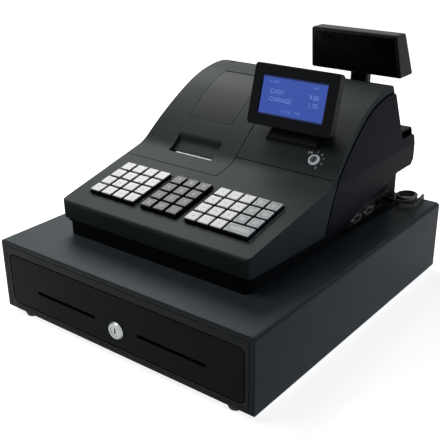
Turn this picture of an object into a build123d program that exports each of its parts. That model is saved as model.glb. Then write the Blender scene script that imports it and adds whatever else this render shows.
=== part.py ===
from build123d import *
import math
import os

# Electronic cash register standing on its cash drawer.
# Bench coordinates in mm: X across the counter, Y back from the drawer's face, Z up from the counter.
# The finished pieces are moved so that the origin is the middle of the footprint.

# ---- cash drawer: driving sizes ----
box_width = 410.0
box_depth = 456.5
box_height = 98.5
foot_height = 8.0
foot_radius_low = 9.0
foot_radius_high = 12.0
foot_side = 34.0         # foot to the side of the box
foot_front = 13.0        # and to its front and rear
sheet = 1.2              # steel of the cover, pan, tray and rails
bend_radius = 5.0        # folded edges of the cover
seat = 0.2               # assembly gap between fixed pieces

face_margin = 14.0       # drawer face to the side of the box
face_height = 70.5
face_lift = 10.0         # above the underside of the box
face_corner = 8.0
face_gap = 1.2           # shadow gap round the face
frame_depth = 14.0
frame_wall = 1.6
groove_inset = 5.3       # line pressed round the front frame
groove_width = 1.0
groove_depth = 0.7

slot_length = 105.0      # media slots
slot_height = 5.0
slot_x = 87.5
slot_drop = 6.75         # below the middle of the face
slot_ease = 4.0          # larger cut-out in the tray behind each slot

lock_drop = 12.25        # lock below the middle of the face
lock_flange = 23.0
lock_proud = 2.5
lock_body = 18.6
lock_bore = 14.4
lock_barrel = 14.2
lock_length = 24.0
keyway_width = 2.2
keyway_height = 8.0
keyway_depth = 3.0
cam_length = 14.0

tray_clear = 52.5        # behind the closed tray
tray_floor = 20.0
tray_height = 52.0
rail_z = 50.0            # middle of the drawer rails
rail_height = 24.0
rail_reach = 12.0
glide_gap = 0.3
glide_length = 16.0
glide_play = 1.0         # glide clear of the other rail's web
rail_split = 2.0         # between the open sides of a rail and its runner
rail_start = 16.0
rail_clear = 16.5        # behind the rails

till_gap = 2.8           # cash insert to the tray's side
till_front = 30.0
store_depth = 49.0       # open part of the tray behind the till
till_floor = 50.0
till_height = 34.0
till_wall = 2.0
ledge_width = 9.0
bill_wells = 5
bill_depth = 172.0
coin_cups = 4
coin_rows = 2
cup_scoop = 14.0
clip_rod = 5.0
clip_hub = 9.0
clip_back = 21.0         # rod ahead of the till's rear
clip_height = 79.0
clip_length = 84.0
clip_width = 16.0
clip_plate = 1.6
clip_pad = 3.6
clip_droop = 15.5        # degrees below level, pressing on the notes

latch_x = 14.0
latch_inset = 12.5       # pivot ahead of the box's rear wall
latch_rest = 20.0        # degrees, hook drawn clear of the striker
latch_play = 2.5         # closed hook to the striker pin
latch_z = 34.0
latch_plate = 3.0
latch_arm = 26.0
latch_nose = 28.5
latch_nose_width = 5.0
latch_width = 8.0
latch_hub = 7.0
latch_pin = 5.0
latch_bore = 5.16
latch_shoulder = 6.0
latch_head = 4.0         # pin above the lever
bracket_span = (-26.0, 72.0)
bracket_depth = 39.0
bracket_inset = 3.5      # bracket to the rear wall
striker_pin = 5.0
striker_half = 6.0       # lug round the striker pin
striker_reach = 8.0      # lug above and below the latch
plunger_arm = 12.0
plunger_size = 6.0
plunger_length = 34.0
coil_length = 26.0
coil_size = 20.0
coil_leg = 20.0          # width of the solenoid's feet
coil_apart = 4.0         # solenoid beside the hook's sweep
plunger_lead = 10.2      # plunger's tip beside the latch pivot
spring_x = -70.0          # leaf that pushes the drawer out
spring_width = 18.0
spring_leaf = 0.8
spring_inset = 10.5      # spring's foot to the rear wall
spring_foot = 16.0
spring_heel = 7.0
spring_turn = 150.0
spring_tip = 12.0
spring_hook = 70.0

# ---- register case: driving sizes, heights above the drawer ----
case_z = foot_height + box_height
wall = 2.6
skirt_rise = 22.0        # underside of the upper case at the front
lip_y = 61.2             # nose of the case behind the drawer's face
lip_rake = 4.8
lip_height = 48.2
deck_slope = 11.9
deck_length = 160.0
foot_turn = 31.1
foot_bend = 41.0         # hollow between deck and hood
hood_turn = 12.8
hood_radius = 447.0
crown_radius = 161.4
case_depth = 395.3       # nose to the back of the hump
rear_top_y = 409.0
ledge_y = 420.0
ledge_height = 105.5
hump_floor = 51.0
hump_chamfer = 7.0
skirt_break_front = 262.0
skirt_break_rear = 408.0

front_half = 150.5       # plan half width at the lip
full_half = 158.0        # and further back
flare_end = 229.5
corner_round = 8.0
nose_round = 4.0
top_round = 5.0
ledge_round = 5.0
lean_start = 81.6        # the sides lean in above this height
lean = 0.15

seam = 1.2               # gap between covers
hinge_gap = 2.2          # gap behind the printer cover, which turns there
cover_seam_x = 4.0       # printer cover to the right hood
cover_front = 193.3
cover_rear = 402.3
hood_front = 236.0
inner_wall_low = 60.0    # foot of the wall beside the printer bay
flange = 8.0             # depth of the covers' side flanges
shadow = 2.2             # shadow line over the side panels
panel_front = ((214.0, -22.0), (216.5, 22.0), (232.0, 68.0), (250.0, 97.0), (250.0, 180.0))
panel_proud = 0.9

base_front_half = 145.5
base_full_half = 157.5
base_front = 68.0
base_rear = 430.0
base_flare_end = 385.0
base_floor = 3.0
base_tongue = 7.0        # rim that stands inside the upper case
tongue_inset = 3.5
rim_step = 0.6           # plinth's rim inside the case's skirt
bay_half = 146.5         # walls of the recesses for the connectors

# keyboard, along the deck from the nose
row_start = 40.0
row_pitch = 19.63
rows = 4
left_block = (-117.8, 20.13, 4)
middle_block = (-28.9, 20.55, 3)
right_block = (42.9, 19.45, 5)
key_base = 17.2
key_top = 15.2
key_rise = 6.0
key_sink = 4.0
key_stem = 5.0
key_gap = 0.4
block_margin = 2.2
grid_thick = 3.0
grid_size = (272.0, 92.0)
grid_sink = 0.6          # raised pads below the deck
grid_gap = 0.3           # raised pads to the deck's opening
board_trim = 2.0
board_post = (132.5, 41.4)    # posts between plate and board, from the middle
post_radius = 2.5
key_board_drop = 13.5
key_board_thick = 1.6

# mode lock on the right hood
mode_x = 115.7
mode_y = 251.7
mode_flange = 16.5
mode_body = 13.0
mode_bore = 10.4
mode_barrel = 10.2
mode_proud = 2.0
mode_length = 18.0

# operator display
display_x = 73.5
display_y = 262.0
display_z = 174.4
display_lean = 16.0
display_width = 127.0
display_height = 80.0
display_corner = 5.0
display_rim = 12.0
display_bulge = 9.0
display_inset = 12.0
screen_width = 99.0
screen_height = 50.0
screen_sink = 1.6
bezel_thick = 3.0
tilt_axis = (283.0, 141.0)
tilt_barrel = 7.0
tilt_pin = 4.0
tilt_bore = 4.2
neck_half = 44.0
neck_head_half = 34.0
neck_depth = 24.0
neck_joint = 0.05        # neck above the hood it stands on
lug_thick = 6.0
lug_gap = 0.3

# rear display
swivel_x = 76.4
swivel_y = 437.0
rear_display_low = 179.0
rear_display_high = 238.5
rear_display_front = (420.0, 408.0)   # low and high edge of the operator's side
rear_display_back = (455.0, 433.0)    # low and high edge of the customer's side
rear_display_half = (70.5, 65.5)      # low and high half width
post_width = 27.0
post_depth = 19.0
post_corner = 6.0
post_head = 16.0
collar = 11.0
window_width = 112.0
window_height = 38.0

# printer
lid_span = (-106.5, -29.7)
lid_range = (271.0, 361.0)
lid_gap = 0.6
lid_barrel = 1.6         # round rear edge of the lid, inside the skin's thickness
lid_pin = 1.0
lid_pin_length = 3.0
notch_span = (-84.0, -54.0)   # finger hollow ahead of the lid
notch_radius = 16.0
notch_depth = 1.6
hinge_drop = 3.8         # printer cover's pin below and ahead of its rear edge
hinge_pin = 1.2
hinge_barrel = 2.6
hinge_ear = 2.4
hinge_places = (-122.0, -22.0)
hinge_width = 4.0        # ear on the rear cover
hinge_side = 6.0         # barrel each side of the ear
pin_play = 0.05          # running fit of the hinge pins
exit_span = (-103.0, -27.0)
exit_front = 222.0
exit_rear = 250.0        # where the skin starts to roll down into the exit
exit_roll = (10.0, 44.0)      # rolled edge: radius and turn
exit_scoop = (9.0, 50.0)      # hollow below it: radius and turn
exit_floor = 14.3
exit_wall = 2.2
exit_depth = 30.0
cutter_span = (-90.0, -27.6)
cutter_reach = 3.0       # tear bar over the exit
printer_x = -65.0
platen_axis = (237.0, 70.0)
platen_size = 12.0
platen_shaft = 4.0
platen_bore = 4.2
platen_length = 58.0
frame_front = 13.0       # printer frame ahead of and behind the platen
frame_rear = 26.0
cross_drop = 32.0
roll_axis = (322.0, 100.4)
roll_size = 46.0
roll_core = 12.0
roll_width = 57.0
cradle_radius = 31.0
cradle_wall = 2.0

# electronics
board_area = (-132.0, 52.0, 96.0, 212.0)
board_lift = 7.0
board_leg = 3.0
supply_area = (66.0, 136.0, 120.0, 262.0)

# sockets
plate_start = 290.0
plate_end = 408.0
plate_low = 3.2
plate_high = 25.0
plate_lap = 2.5          # overlap of the plate on the recess wall
jack_places = (374.0, 394.0)
serial_places = (308.0, 342.0)
jack_z = 14.0
jack_width = 15.0
jack_height = 13.0
jack_depth = 17.0
inlet_x = -112.0
inlet_z = 26.0
inlet_width = 28.0
inlet_height = 20.0
inlet_rim = 2.0

screw_radius = 2.9
screw_rise = 1.8
side_screws = ((398.0, 38.0), (275.0, 15.0))
rear_screws = ((-60.0, 42.0), (60.0, 42.0))

# drawer cable, heights above the drawer
cable_size = 4.2
cable_gap = 1.3          # cable's end clear of the plug's boot and the gland
coil_centre = (167.0, 427.0)
coil_radius = 13.5
coil_low = 3.2           # clear of the plinth's floor
coil_height = 13.4
gland_inset = 41.0       # cable's hole to the side of the box
gland_neck = 4.0
gland_radius = 5.5
cable_lead_points = ((164.0, 394.0, 14.0), (177.5, 397.0, 12.8), (183.6, 408.5, 8.6), (181.4, 423.5, 5.5))
cable_end = (box_width / 2 - gland_inset, box_depth + 5.0, -46.0)
cable_tail_points = ((180.6, 430.0, 13.7), (180.0, 446.0, 12.6), (176.5, 465.0, 9.6), (171.5, 476.5, -6.0),
                     (168.5, 478.0, -23.0), (166.0, 472.5, -38.5), cable_end)


def block(x0, x1, y0, y1, z0, z1):
    """A box between two corners."""
    return Pos((x0 + x1) / 2, (y0 + y1) / 2, (z0 + z1) / 2) * Box(x1 - x0, y1 - y0, z1 - z0)


def prism_x(face, x0, x1):
    """A side view (Y, Z) drawn out from x0 to x1."""
    return Pos(x0, 0, 0) * extrude(Plane.YZ * face, amount=x1 - x0)


def prism_y(face, y0, y1):
    """A front view (X, Z) drawn out from y0 to y1."""
    return Pos(0, y1, 0) * extrude(Plane.XZ * face, amount=y1 - y0)


def prism_z(face, z0, z1):
    """A plan (X, Y) drawn out from z0 to z1."""
    return Pos(0, 0, z0) * extrude(face, amount=z1 - z0)


def rod_x(radius, x0, x1, y, z):
    """A round bar along X."""
    return prism_x(Pos(y, z) * Circle(radius), x0, x1)


def rod_y(radius, y0, y1, x, z):
    """A round bar along Y."""
    return prism_y(Pos(x, z) * Circle(radius), y0, y1)


def rod_z(radius, z0, z1, x, y):
    """A round bar standing upright."""
    return prism_z(Pos(x, y) * Circle(radius), z0, z1)


def polygon(points):
    """A flat face inside straight lines through the points."""
    return make_face(Polyline(*points, close=True))


def nearest(face, point):
    """The corner of a flat face that lies nearest to a point."""
    return face.vertices().sort_by_distance((point[0], point[1], 0))[0]


def both_sides(solid):
    """A solid and its mirror image across the middle of the machine."""
    return [solid, mirror(solid, about=Plane.YZ)]


nodes = {}


def add(name, *solids):
    """Keep the solids of one sub-part under its name."""
    found = []
    for item in solids:
        found.extend(item.solids())
    nodes[name] = found


# ---- cash drawer ----

face_z = foot_height + face_lift + face_height / 2
inner_half = box_width / 2 - sheet - seat
inner_top = foot_height + box_height - sheet - seat
face_width = box_width - 2 * face_margin
tray_rear = box_depth - tray_clear
rail_end = box_depth - rail_clear
rail_web = inner_half - sheet - seat
tray_half = rail_web - 2 * rail_reach - rail_split - seat
till_half = tray_half - sheet - till_gap
till_depth = tray_rear - store_depth - till_front
latch_pivot = (latch_x, box_depth - latch_inset)
striker_x = latch_x + latch_width / 2 - latch_nose + striker_pin / 2
striker_y = latch_pivot[1] - latch_arm + latch_nose_width + latch_play + striker_pin / 2
case_rear = lip_y + case_depth
pan_top = foot_height + sheet
slot_z = face_z - slot_drop
lock_z = face_z - lock_drop


def arch(half, top, radius):
    """Front view of the cabinet's inverted U down to its underside."""
    low = foot_height
    face = Pos(0, (low + top) / 2) * Rectangle(2 * half, top - low)
    return fillet(face.vertices().sort_by(Axis.Y)[-2:], radius)


def face_outline(grow):
    """Front view of the drawer face, grown by a gap."""
    shape = RectangleRounded(face_width + 2 * grow, face_height + 2 * grow, face_corner + grow)
    return Pos(0, face_z) * shape


def drawer_cover():
    outer = arch(box_width / 2, foot_height + box_height, bend_radius)
    inner = arch(box_width / 2 - sheet, foot_height + box_height - sheet, bend_radius - sheet)
    return prism_y(outer - inner, 0, box_depth)


def front_frame():
    radius = bend_radius - sheet - seat
    outline = arch(inner_half, inner_top, radius)
    opening = face_outline(face_gap)
    ring = prism_y(outline - opening, 0, frame_depth)
    back = offset(outline, -frame_wall, kind=Kind.INTERSECTION) - face_outline(face_gap + frame_wall)
    ring -= prism_y(back, frame_wall, frame_depth)
    groove = offset(outline, -groove_inset, kind=Kind.INTERSECTION)
    groove -= offset(outline, -groove_inset - groove_width, kind=Kind.INTERSECTION)
    return ring - prism_y(groove, 0, groove_depth)


def base_pan():
    flange_height = 14.0
    front = frame_depth + seat
    floor = block(-inner_half, inner_half, front, box_depth, foot_height, pan_top)
    rear = block(-inner_half, inner_half, box_depth - sheet, box_depth, foot_height, inner_top - bend_radius)
    side = block(inner_half - sheet, inner_half, front, box_depth, foot_height, foot_height + flange_height)
    x, y, z = cable_end
    hole = rod_y(gland_neck + seat, box_depth - 2 * sheet, box_depth + sheet, x, case_z + z)
    return floor + rear + both_sides(side) - hole


def rubber_feet():
    profile = polygon([(0, 0), (foot_radius_low, 0), (foot_radius_high, foot_height), (0, foot_height)])
    foot = revolve(Plane.XZ * profile, Axis.Z)
    x = box_width / 2 - foot_side
    return [Pos(sx * x, y, 0) * foot for sx in (-1, 1) for y in (foot_front, box_depth - foot_front)]


def channel(web_x, open_x, y0, y1):
    """A drawer rail: a sheet channel along Y whose open side looks towards open_x."""
    low, high = rail_z - rail_height / 2, rail_z + rail_height / 2
    side = 1 if open_x > web_x else -1
    body = block(min(web_x, open_x), max(web_x, open_x), y0, y1, low, high)
    inner_web, past = web_x + side * sheet, open_x + side * sheet
    hollow = block(min(inner_web, past), max(inner_web, past), y0, y1, low + sheet, high - sheet)
    return body - hollow


runner_x = tray_half + seat
glide_half = rail_height / 2 - sheet - glide_gap


def cabinet_rails():
    return both_sides(channel(rail_web, rail_web - rail_reach, rail_start, rail_end))


def drawer_runners():
    return both_sides(channel(runner_x, runner_x + rail_reach, rail_start, tray_rear))


def glide(x0, x1, y0):
    pad = block(x0, x1, y0, y0 + glide_length, rail_z - glide_half, rail_z + glide_half)
    return chamfer(pad.edges().filter_by(Axis.X), 2.0)


def front_glides():
    return both_sides(glide(runner_x + sheet + glide_play, rail_web - sheet, rail_start))


def rear_glides():
    return both_sides(glide(runner_x + sheet, rail_web - sheet - glide_play, tray_rear - glide_length))


def media_slot(x, height):
    return Pos(x, slot_z) * SlotOverall(slot_length, height)


def drawer_front():
    shell = prism_y(face_outline(0), 0, frame_depth)
    shell = chamfer(shell.faces().sort_by(Axis.Y)[0].outer_wire().edges(), 0.8)
    shell -= prism_y(face_outline(-frame_wall), frame_wall, frame_depth + 1)
    for side in (-1, 1):
        shell -= prism_y(media_slot(side * slot_x, slot_height), -1, frame_wall + 1)
    return shell - rod_y(lock_body / 2 + seat, -1, frame_depth, 0, lock_z)


def drawer_tray():
    top = tray_floor + tray_height
    front = frame_depth + seat
    outer = block(-tray_half, tray_half, front, tray_rear, tray_floor, top)
    tray = outer - block(-tray_half + sheet, tray_half - sheet, front + sheet, tray_rear - sheet,
                         tray_floor + sheet, top + 1)
    for side in (-1, 1):
        cutout = Rectangle(slot_length + 2 * slot_ease, slot_height + 2 * slot_ease)
        tray -= prism_y(Pos(side * slot_x, slot_z) * cutout, front - 1, front + sheet + 1)
    tray -= rod_y(lock_body / 2 + seat, front - 1, front + sheet + 1, 0, lock_z)
    ledge_top = till_floor - seat
    ledge = block(tray_half - sheet - ledge_width, tray_half - sheet, till_front, till_front + till_depth,
                  ledge_top - sheet, ledge_top)
    return tray + both_sides(ledge)


def lock_ring():
    """Flanged sleeve in the drawer face that the lock turns in."""
    flange = polygon([(lock_bore / 2, -lock_proud), (lock_flange / 2 - 1.5, -lock_proud),
                      (lock_flange / 2, 0), (lock_body / 2, 0), (lock_body / 2, lock_length - 3),
                      (lock_bore / 2, lock_length - 3)])
    ring = revolve(flange, Axis.Y)
    return Pos(0, 0, lock_z) * ring


def lock_turner():
    barrel = rod_y(lock_barrel / 2, -lock_proud + 0.6, lock_length, 0, lock_z)
    key = Rectangle(keyway_width, keyway_height)
    barrel -= prism_y(Pos(0, lock_z) * key, -lock_proud, keyway_depth)
    cam = Pos(0, lock_z + cam_length / 2) * SlotOverall(cam_length + 9, 9, rotation=90)
    return barrel + prism_y(cam, lock_length, lock_length + 2.5)


till_top = till_floor + till_height
clip_pivot = (till_front + till_depth - clip_back, clip_height)
well_front = till_front + till_depth - till_wall - bill_depth
coin_front = till_front + till_wall
coin_pitch = (2 * till_half - till_wall) / coin_cups
coin_row = (well_front - coin_front) / coin_rows
well_pitch = (2 * till_half - till_wall) / bill_wells


def till_insert():
    till = block(-till_half, till_half, till_front, till_front + till_depth, till_floor, till_top)
    floor = till_floor + till_wall
    for i in range(bill_wells):
        x0 = -till_half + till_wall + i * well_pitch
        x1 = x0 + well_pitch - till_wall
        till -= block(x0, x1, well_front, well_front + bill_depth, floor, till_top + 1)
    for row in range(coin_rows):
        y0 = coin_front + row * coin_row
        y1 = y0 + coin_row - till_wall
        cup = polygon([(y0, floor), (y1, floor), (y1, till_top + 1), (y0, till_top + 1)])
        cup = fillet([nearest(cup, (y0, floor)), nearest(cup, (y1, floor))], cup_scoop)
        for i in range(coin_cups):
            x0 = -till_half + till_wall + i * coin_pitch
            till -= prism_x(cup, x0, x0 + coin_pitch - till_wall)
    return till - rod_x(clip_rod / 2 + pin_play, -till_half - 1, till_half + 1, *clip_pivot)


def bill_clip(x):
    """A sprung arm that holds notes down: hub on the rod, flat arm, round pad at the tip."""
    y, z = clip_pivot
    hub = rod_x(clip_hub / 2, x - clip_width / 2, x + clip_width / 2, y, z)
    arm = Pos(-clip_length / 2, 0) * Rectangle(clip_length, clip_plate)
    pad = Pos(-clip_length, 0) * Circle(clip_pad)
    arm = Pos(y, z) * Rot(0, 0, clip_droop) * (arm + pad)
    return hub + prism_x(arm, x - clip_width / 2, x + clip_width / 2)


def bill_clips():
    """Five arms on one rod that turns in the till's walls."""
    first = -till_half + till_wall + (well_pitch - till_wall) / 2
    clips = rod_x(clip_rod / 2, -till_half + 0.5, till_half - 0.5, *clip_pivot)
    for i in range(bill_wells):
        clips += bill_clip(first + i * well_pitch)
    return clips


def striker():
    """Pin on a folded lug behind the tray, which the latch hook catches."""
    low, high = latch_z - striker_reach, latch_z + latch_plate + striker_reach
    x0, x1 = striker_x - striker_half, striker_x + striker_half
    end = striker_y + striker_pin / 2 + 1.5
    lug = block(x0, x1, tray_rear, end, low, high)
    lug -= block(x0, x1, tray_rear + sheet, end + 1, low + 2 * sheet, high - 2 * sheet)
    return lug + rod_z(striker_pin / 2, low + 0.1, high - 0.1, striker_x, striker_y)


plunger_y = latch_pivot[1] - plunger_arm
plunger_z = latch_z + latch_plate / 2
plunger_end = latch_pivot[0] + plunger_lead
coil_start = latch_pivot[0] + latch_nose + coil_apart


def latch_bracket():
    """Base plate with the latch's shouldered pin and the solenoid's two feet."""
    rear = box_depth - bracket_inset
    base = block(*bracket_span, rear - bracket_depth, rear, pan_top, pan_top + sheet)
    post = rod_z(latch_shoulder, pan_top, latch_z - seat, *latch_pivot)
    pin = rod_z(latch_pin / 2, pan_top, latch_z + latch_plate + latch_head, *latch_pivot)
    y0, y1 = plunger_y - coil_leg / 2, plunger_y + coil_leg / 2
    leg = block(coil_start - sheet, coil_start, y0, y1, pan_top, plunger_z - coil_size / 2 - sheet)
    return base + post + pin + leg + Pos(coil_length + 3 * sheet, 0, 0) * leg


def latch_lever():
    """Flat hook: hub, forward arm and sideways nose, drawn at rest turned clear of the striker."""
    arm = Pos(0, -latch_arm / 2) * Rectangle(latch_width, latch_arm)
    nose = Pos((latch_width - latch_nose) / 2, -latch_arm + latch_nose_width / 2) \
        * Rectangle(latch_nose, latch_nose_width)
    plan = Circle(latch_hub) + arm + nose - Circle(latch_bore / 2)
    lever = prism_z(Rot(0, 0, latch_rest) * plan, latch_z, latch_z + latch_plate)
    return Pos(latch_pivot[0], latch_pivot[1], 0) * lever


def solenoid():
    low, high = plunger_z - coil_size / 2, plunger_z + coil_size / 2
    half = coil_size / 2 + 2
    frame = block(coil_start, coil_start + coil_length + 2 * sheet, plunger_y - half, plunger_y + half,
                  low - sheet, high + sheet)
    frame -= block(coil_start + sheet, coil_start + coil_length + sheet, plunger_y - half - 1,
                   plunger_y + half + 1, low, high)
    coil_end = coil_start + coil_length + sheet
    coil = rod_x(coil_size / 2 - seat, coil_start + sheet, coil_end, plunger_y, plunger_z)
    bore = rod_x(plunger_size / 2 + 0.1, coil_start - 1, coil_end + sheet + 1, plunger_y, plunger_z)
    return [frame - bore, coil - bore]


def solenoid_plunger():
    return rod_x(plunger_size / 2, plunger_end, plunger_end + plunger_length, plunger_y, plunger_z)


def eject_spring():
    """Bent leaf on the base pan whose tip presses on the back of the tray."""
    low = pan_top + spring_leaf / 2
    end = box_depth - spring_inset
    foot = Line((end - spring_foot, low), (end, low))
    heel = JernArc(foot @ 1, foot % 1, spring_heel, spring_turn)
    angle = math.radians(spring_turn)
    tip_reach = spring_tip * (1 - math.sin(angle)) + spring_leaf / 2
    length = ((heel @ 1).X - tray_rear - seat - tip_reach) / -math.cos(angle)
    arm = PolarLine(heel @ 1, length, spring_turn)
    tip = JernArc(arm @ 1, arm % 1, spring_tip, -spring_hook)
    leaf = trace(foot + heel + arm + tip, spring_leaf)
    return prism_x(leaf, spring_x - spring_width / 2, spring_x + spring_width / 2)


# ---- register case ----

def side_profile():
    """Side view (Y, height above the drawer) of the whole case."""
    low = (lip_y + lip_rake, skirt_rise)
    nose = (lip_y, lip_height)
    lip = Line(low, nose)
    deck = PolarLine(nose, deck_length, deck_slope)
    hollow = JernArc(deck @ 1, deck % 1, foot_bend, foot_turn)
    hood = JernArc(hollow @ 1, hollow % 1, hood_radius, -hood_turn)
    crown = JernArc(hood @ 1, hood % 1, crown_radius, hood_turn - foot_turn - deck_slope)
    top = (crown @ 1).Y
    back = Polyline(crown @ 1, (rear_top_y, top), (ledge_y, ledge_height), (case_rear, ledge_height),
                    (case_rear, hump_floor + hump_chamfer), (case_rear - hump_chamfer, hump_floor),
                    (skirt_break_rear, hump_floor), (skirt_break_front, skirt_rise), low)
    face = make_face(lip + deck + hollow + hood + crown + back)
    face = fillet(nearest(face, nose), nose_round)
    face = fillet(nearest(face, (rear_top_y, top)), top_round)
    return fillet(nearest(face, (case_rear, ledge_height)), ledge_round)


def deck_point(along, above=0.0):
    """Side-view place on the keyboard deck, a distance back from the nose."""
    angle = math.radians(deck_slope)
    y = lip_y + along * math.cos(angle) - above * math.sin(angle)
    z = lip_height + along * math.sin(angle) + above * math.cos(angle)
    return y, z


def hood_centre():
    """Centre of the hood's large arc in the side view."""
    angle = math.radians(deck_slope)
    y, z = deck_point(deck_length)
    turned = math.radians(deck_slope + foot_turn)
    y += foot_bend * (math.sin(turned) - math.sin(angle))
    z += foot_bend * (math.cos(angle) - math.cos(turned))
    return y + hood_radius * math.sin(turned), z - hood_radius * math.cos(turned)


def plan_outline(front, full, start, flare, inset):
    points = [(front - inset, start), (full - inset, flare), (full - inset, case_rear + corner_round)]
    mirrored = [(-x, y) for x, y in reversed(points)]
    face = polygon(points + mirrored)
    corners = [nearest(face, (side * (front - inset), start)) for side in (-1, 1)]
    return fillet(corners, corner_round)


def front_outline(inset):
    half = full_half - inset
    points = [(half, below), (half, lean_start), (half - lean * (above - lean_start), above)]
    return polygon(points + [(-x, z) for x, z in reversed(points)])


def sides(inset):
    """The space between the flared and leaning sides of the case."""
    plan = plan_outline(front_half, full_half, lip_y + inset, flare_end, inset)
    return prism_z(plan, below, above) & prism_y(front_outline(inset), lip_y - wall, case_rear + wall)


profile = side_profile()
far = full_half + corner_round       # past the sides, the back, the foot and the top of the case
past = case_rear + corner_round
below = -skirt_rise
above = profile.bounding_box().max.Y + corner_round
outer_profile = prism_x(profile, -far, far)
inner_face = offset(profile, -wall, kind=Kind.INTERSECTION)
open_face = inner_face + Pos(0, -3 * wall) * inner_face
inner_profile = prism_x(open_face, -far, far)
outer_sides = sides(0)
inner_sides = sides(wall)
case_outer = outer_sides & outer_profile
case_shell = case_outer - (inner_sides & inner_profile)
cover_band = prism_x(profile - Pos(0, -flange) * profile, -far, far)
under_covers = prism_x(Pos(0, -flange - shadow) * profile, -far, far)
panel_region = polygon(list(panel_front) + [(past, above), (past, below)])


def upper_case():
    """Lip, keyboard deck and front part of the sides."""
    behind = prism_x(Pos(-seam, 0) * panel_region, -far, far)
    top_left = block(-far, cover_seam_x + seam, cover_front - seam, past, below, above)
    top_right = block(-far, far, hood_front - seam, past, below, above)
    band = prism_x(profile - Pos(0, -flange - seam) * profile, -far, far)
    case = case_shell - behind - (band & (top_left + top_right))
    for first, pitch, count in (left_block, middle_block, right_block):
        case -= deck_plane() * key_window(first, pitch, count, 0, 10)
    return case


def deck_plane():
    y, z = deck_point(0)
    angle = math.radians(deck_slope)
    return Plane(origin=(0, y, z), x_dir=(1, 0, 0), z_dir=(0, -math.sin(angle), math.cos(angle)))


def key_window(first, pitch, count, inset, depth):
    """Rectangle of deck round one block of keys, as a solid through the deck."""
    width = (count - 1) * pitch + key_base + 2 * (block_margin - inset)
    length = (rows - 1) * row_pitch + key_base + 2 * (block_margin - inset)
    x = first + (count - 1) * pitch / 2
    along = row_start + (rows - 1) * row_pitch / 2
    return Pos(x, along, -depth / 2) * Box(width, length, depth + 2)


def side_panel(side):
    """Large side cover behind the shadow line, standing a little proud of the case."""
    skin = sides(-panel_proud) - sides(wall - 0.4)
    panel = skin & under_covers & prism_x(panel_region, -far, far) & outer_profile
    reach = side * far
    return panel & block(min(0, reach), max(0, reach), 0, past, below, above)


def paper_window(gap):
    x0, x1 = lid_span
    y0, y1 = lid_range
    return block(x0 - gap, x1 + gap, y0 - gap, y1 + gap, skirt_rise, above)


def surface_height(y):
    """Height of the case's skin over a place in the side view."""
    line = Edge.make_line((y, skirt_rise + wall), (y, above))
    return (profile & line).bounding_box().max.Y


def surface_slope(y):
    """Slope of the skin in degrees, rising towards the back."""
    return math.degrees(math.atan(surface_height(y + 0.5) - surface_height(y - 0.5)))


def below_skin(y, depth):
    """Side-view place at a depth under the skin."""
    return y, surface_height(y) - depth / math.cos(math.radians(surface_slope(y)))


lid_hinge = below_skin(lid_range[1] - lid_barrel, lid_barrel)
cover_hinge = (cover_rear - hinge_drop, surface_height(cover_rear) - hinge_drop)


def paper_exit():
    """Side view of the exit: open to the front, with a rear side that rolls down and scoops forward."""
    start = (exit_rear, surface_height(exit_rear))
    heading = Vector(-1, 0).rotate(Axis.Z, surface_slope(exit_rear))
    roll = JernArc(start, heading, *exit_roll)
    scoop = JernArc(roll @ 1, roll % 1, exit_scoop[0], -exit_scoop[1])
    floor = PolarLine(scoop @ 1, exit_floor, direction=scoop % 1)
    low = (floor @ 1) - Vector(0, exit_wall * 2)
    front = (exit_front, low.Y)
    high = start[1] + exit_roll[0]
    frame = Polyline(floor @ 1, low, front, (exit_front, high), (exit_rear, high), start)
    return make_face(roll + scoop + floor + frame)


def exit_pocket(cover):
    """Paper exit with its own walls: a rolled rear side between two cheeks."""
    opening = paper_exit()
    walls = offset(opening, exit_wall) - opening
    floor_end = opening.vertices().sort_by(Axis.Y)[0].Y + exit_wall
    behind = Pos((exit_front + past) / 2 + 2 * cutter_reach, floor_end + exit_depth / 2) \
        * Rectangle(past - exit_front, exit_depth)
    x0, x1 = exit_span
    pocket = prism_x(walls & behind, x0 - exit_wall, x1 + exit_wall)
    for start in (x0 - exit_wall, x1):
        pocket += prism_x(opening & behind, start, start + exit_wall)
    pocket &= outer_profile
    return cover - prism_x(opening, x0, x1) + (pocket - prism_x(opening, x0, x1))


def finger_notch():
    """Shallow hollow ahead of the paper lid that lets a finger under its edge."""
    y = lid_range[0]
    centre = below_skin(y, notch_depth - notch_radius)
    return rod_x(notch_radius, *notch_span, *centre) & block(*notch_span, 0, y + lid_gap, 0, above)


def cover_knuckles():
    """Barrels with a steel pin under the rear edge of the printer cover, one pair at each ear."""
    found = []
    for x in hinge_places:
        half = hinge_width / 2 + lid_gap
        end = half + hinge_side
        for side in (-1, 1):
            x0, x1 = sorted((x + side * half, x + side * end))
            found.append(rod_x(hinge_barrel, x0, x1, *cover_hinge))
        found.append(rod_x(hinge_pin, x - end, x + end, *cover_hinge))
    return found


def lid_sockets():
    """Bosses under the printer cover's skin that hold the ends of the lid's pins."""
    y, z = lid_hinge
    size = lid_barrel + wall
    found = []
    for x, side in ((lid_span[0] - lid_gap, -1), (lid_span[1] + lid_gap, 1)):
        x0, x1 = sorted((x, x + side * (lid_pin_length + wall)))
        found.append(block(x0, x1, y - size, y + size, z - lid_barrel - wall / 2, z + size) & outer_profile)
    return found


def printer_cover():
    cover = case_shell & cover_band & block(-far, cover_seam_x, cover_front, cover_rear, below, above)
    cover = exit_pocket(cover - paper_window(lid_gap)) - finger_notch()
    y, z = cover_hinge
    for x in hinge_places:
        half = hinge_width / 2 + lid_gap
        cover -= block(x - half, x + half, y - hinge_ear - lid_gap, past, z - hinge_barrel, above)
    cover = cover + cover_knuckles() + lid_sockets()
    reach = lid_pin_length + lid_gap
    return cover - rod_x(lid_pin + pin_play, lid_span[0] - reach, lid_span[1] + reach, *lid_hinge)


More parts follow.
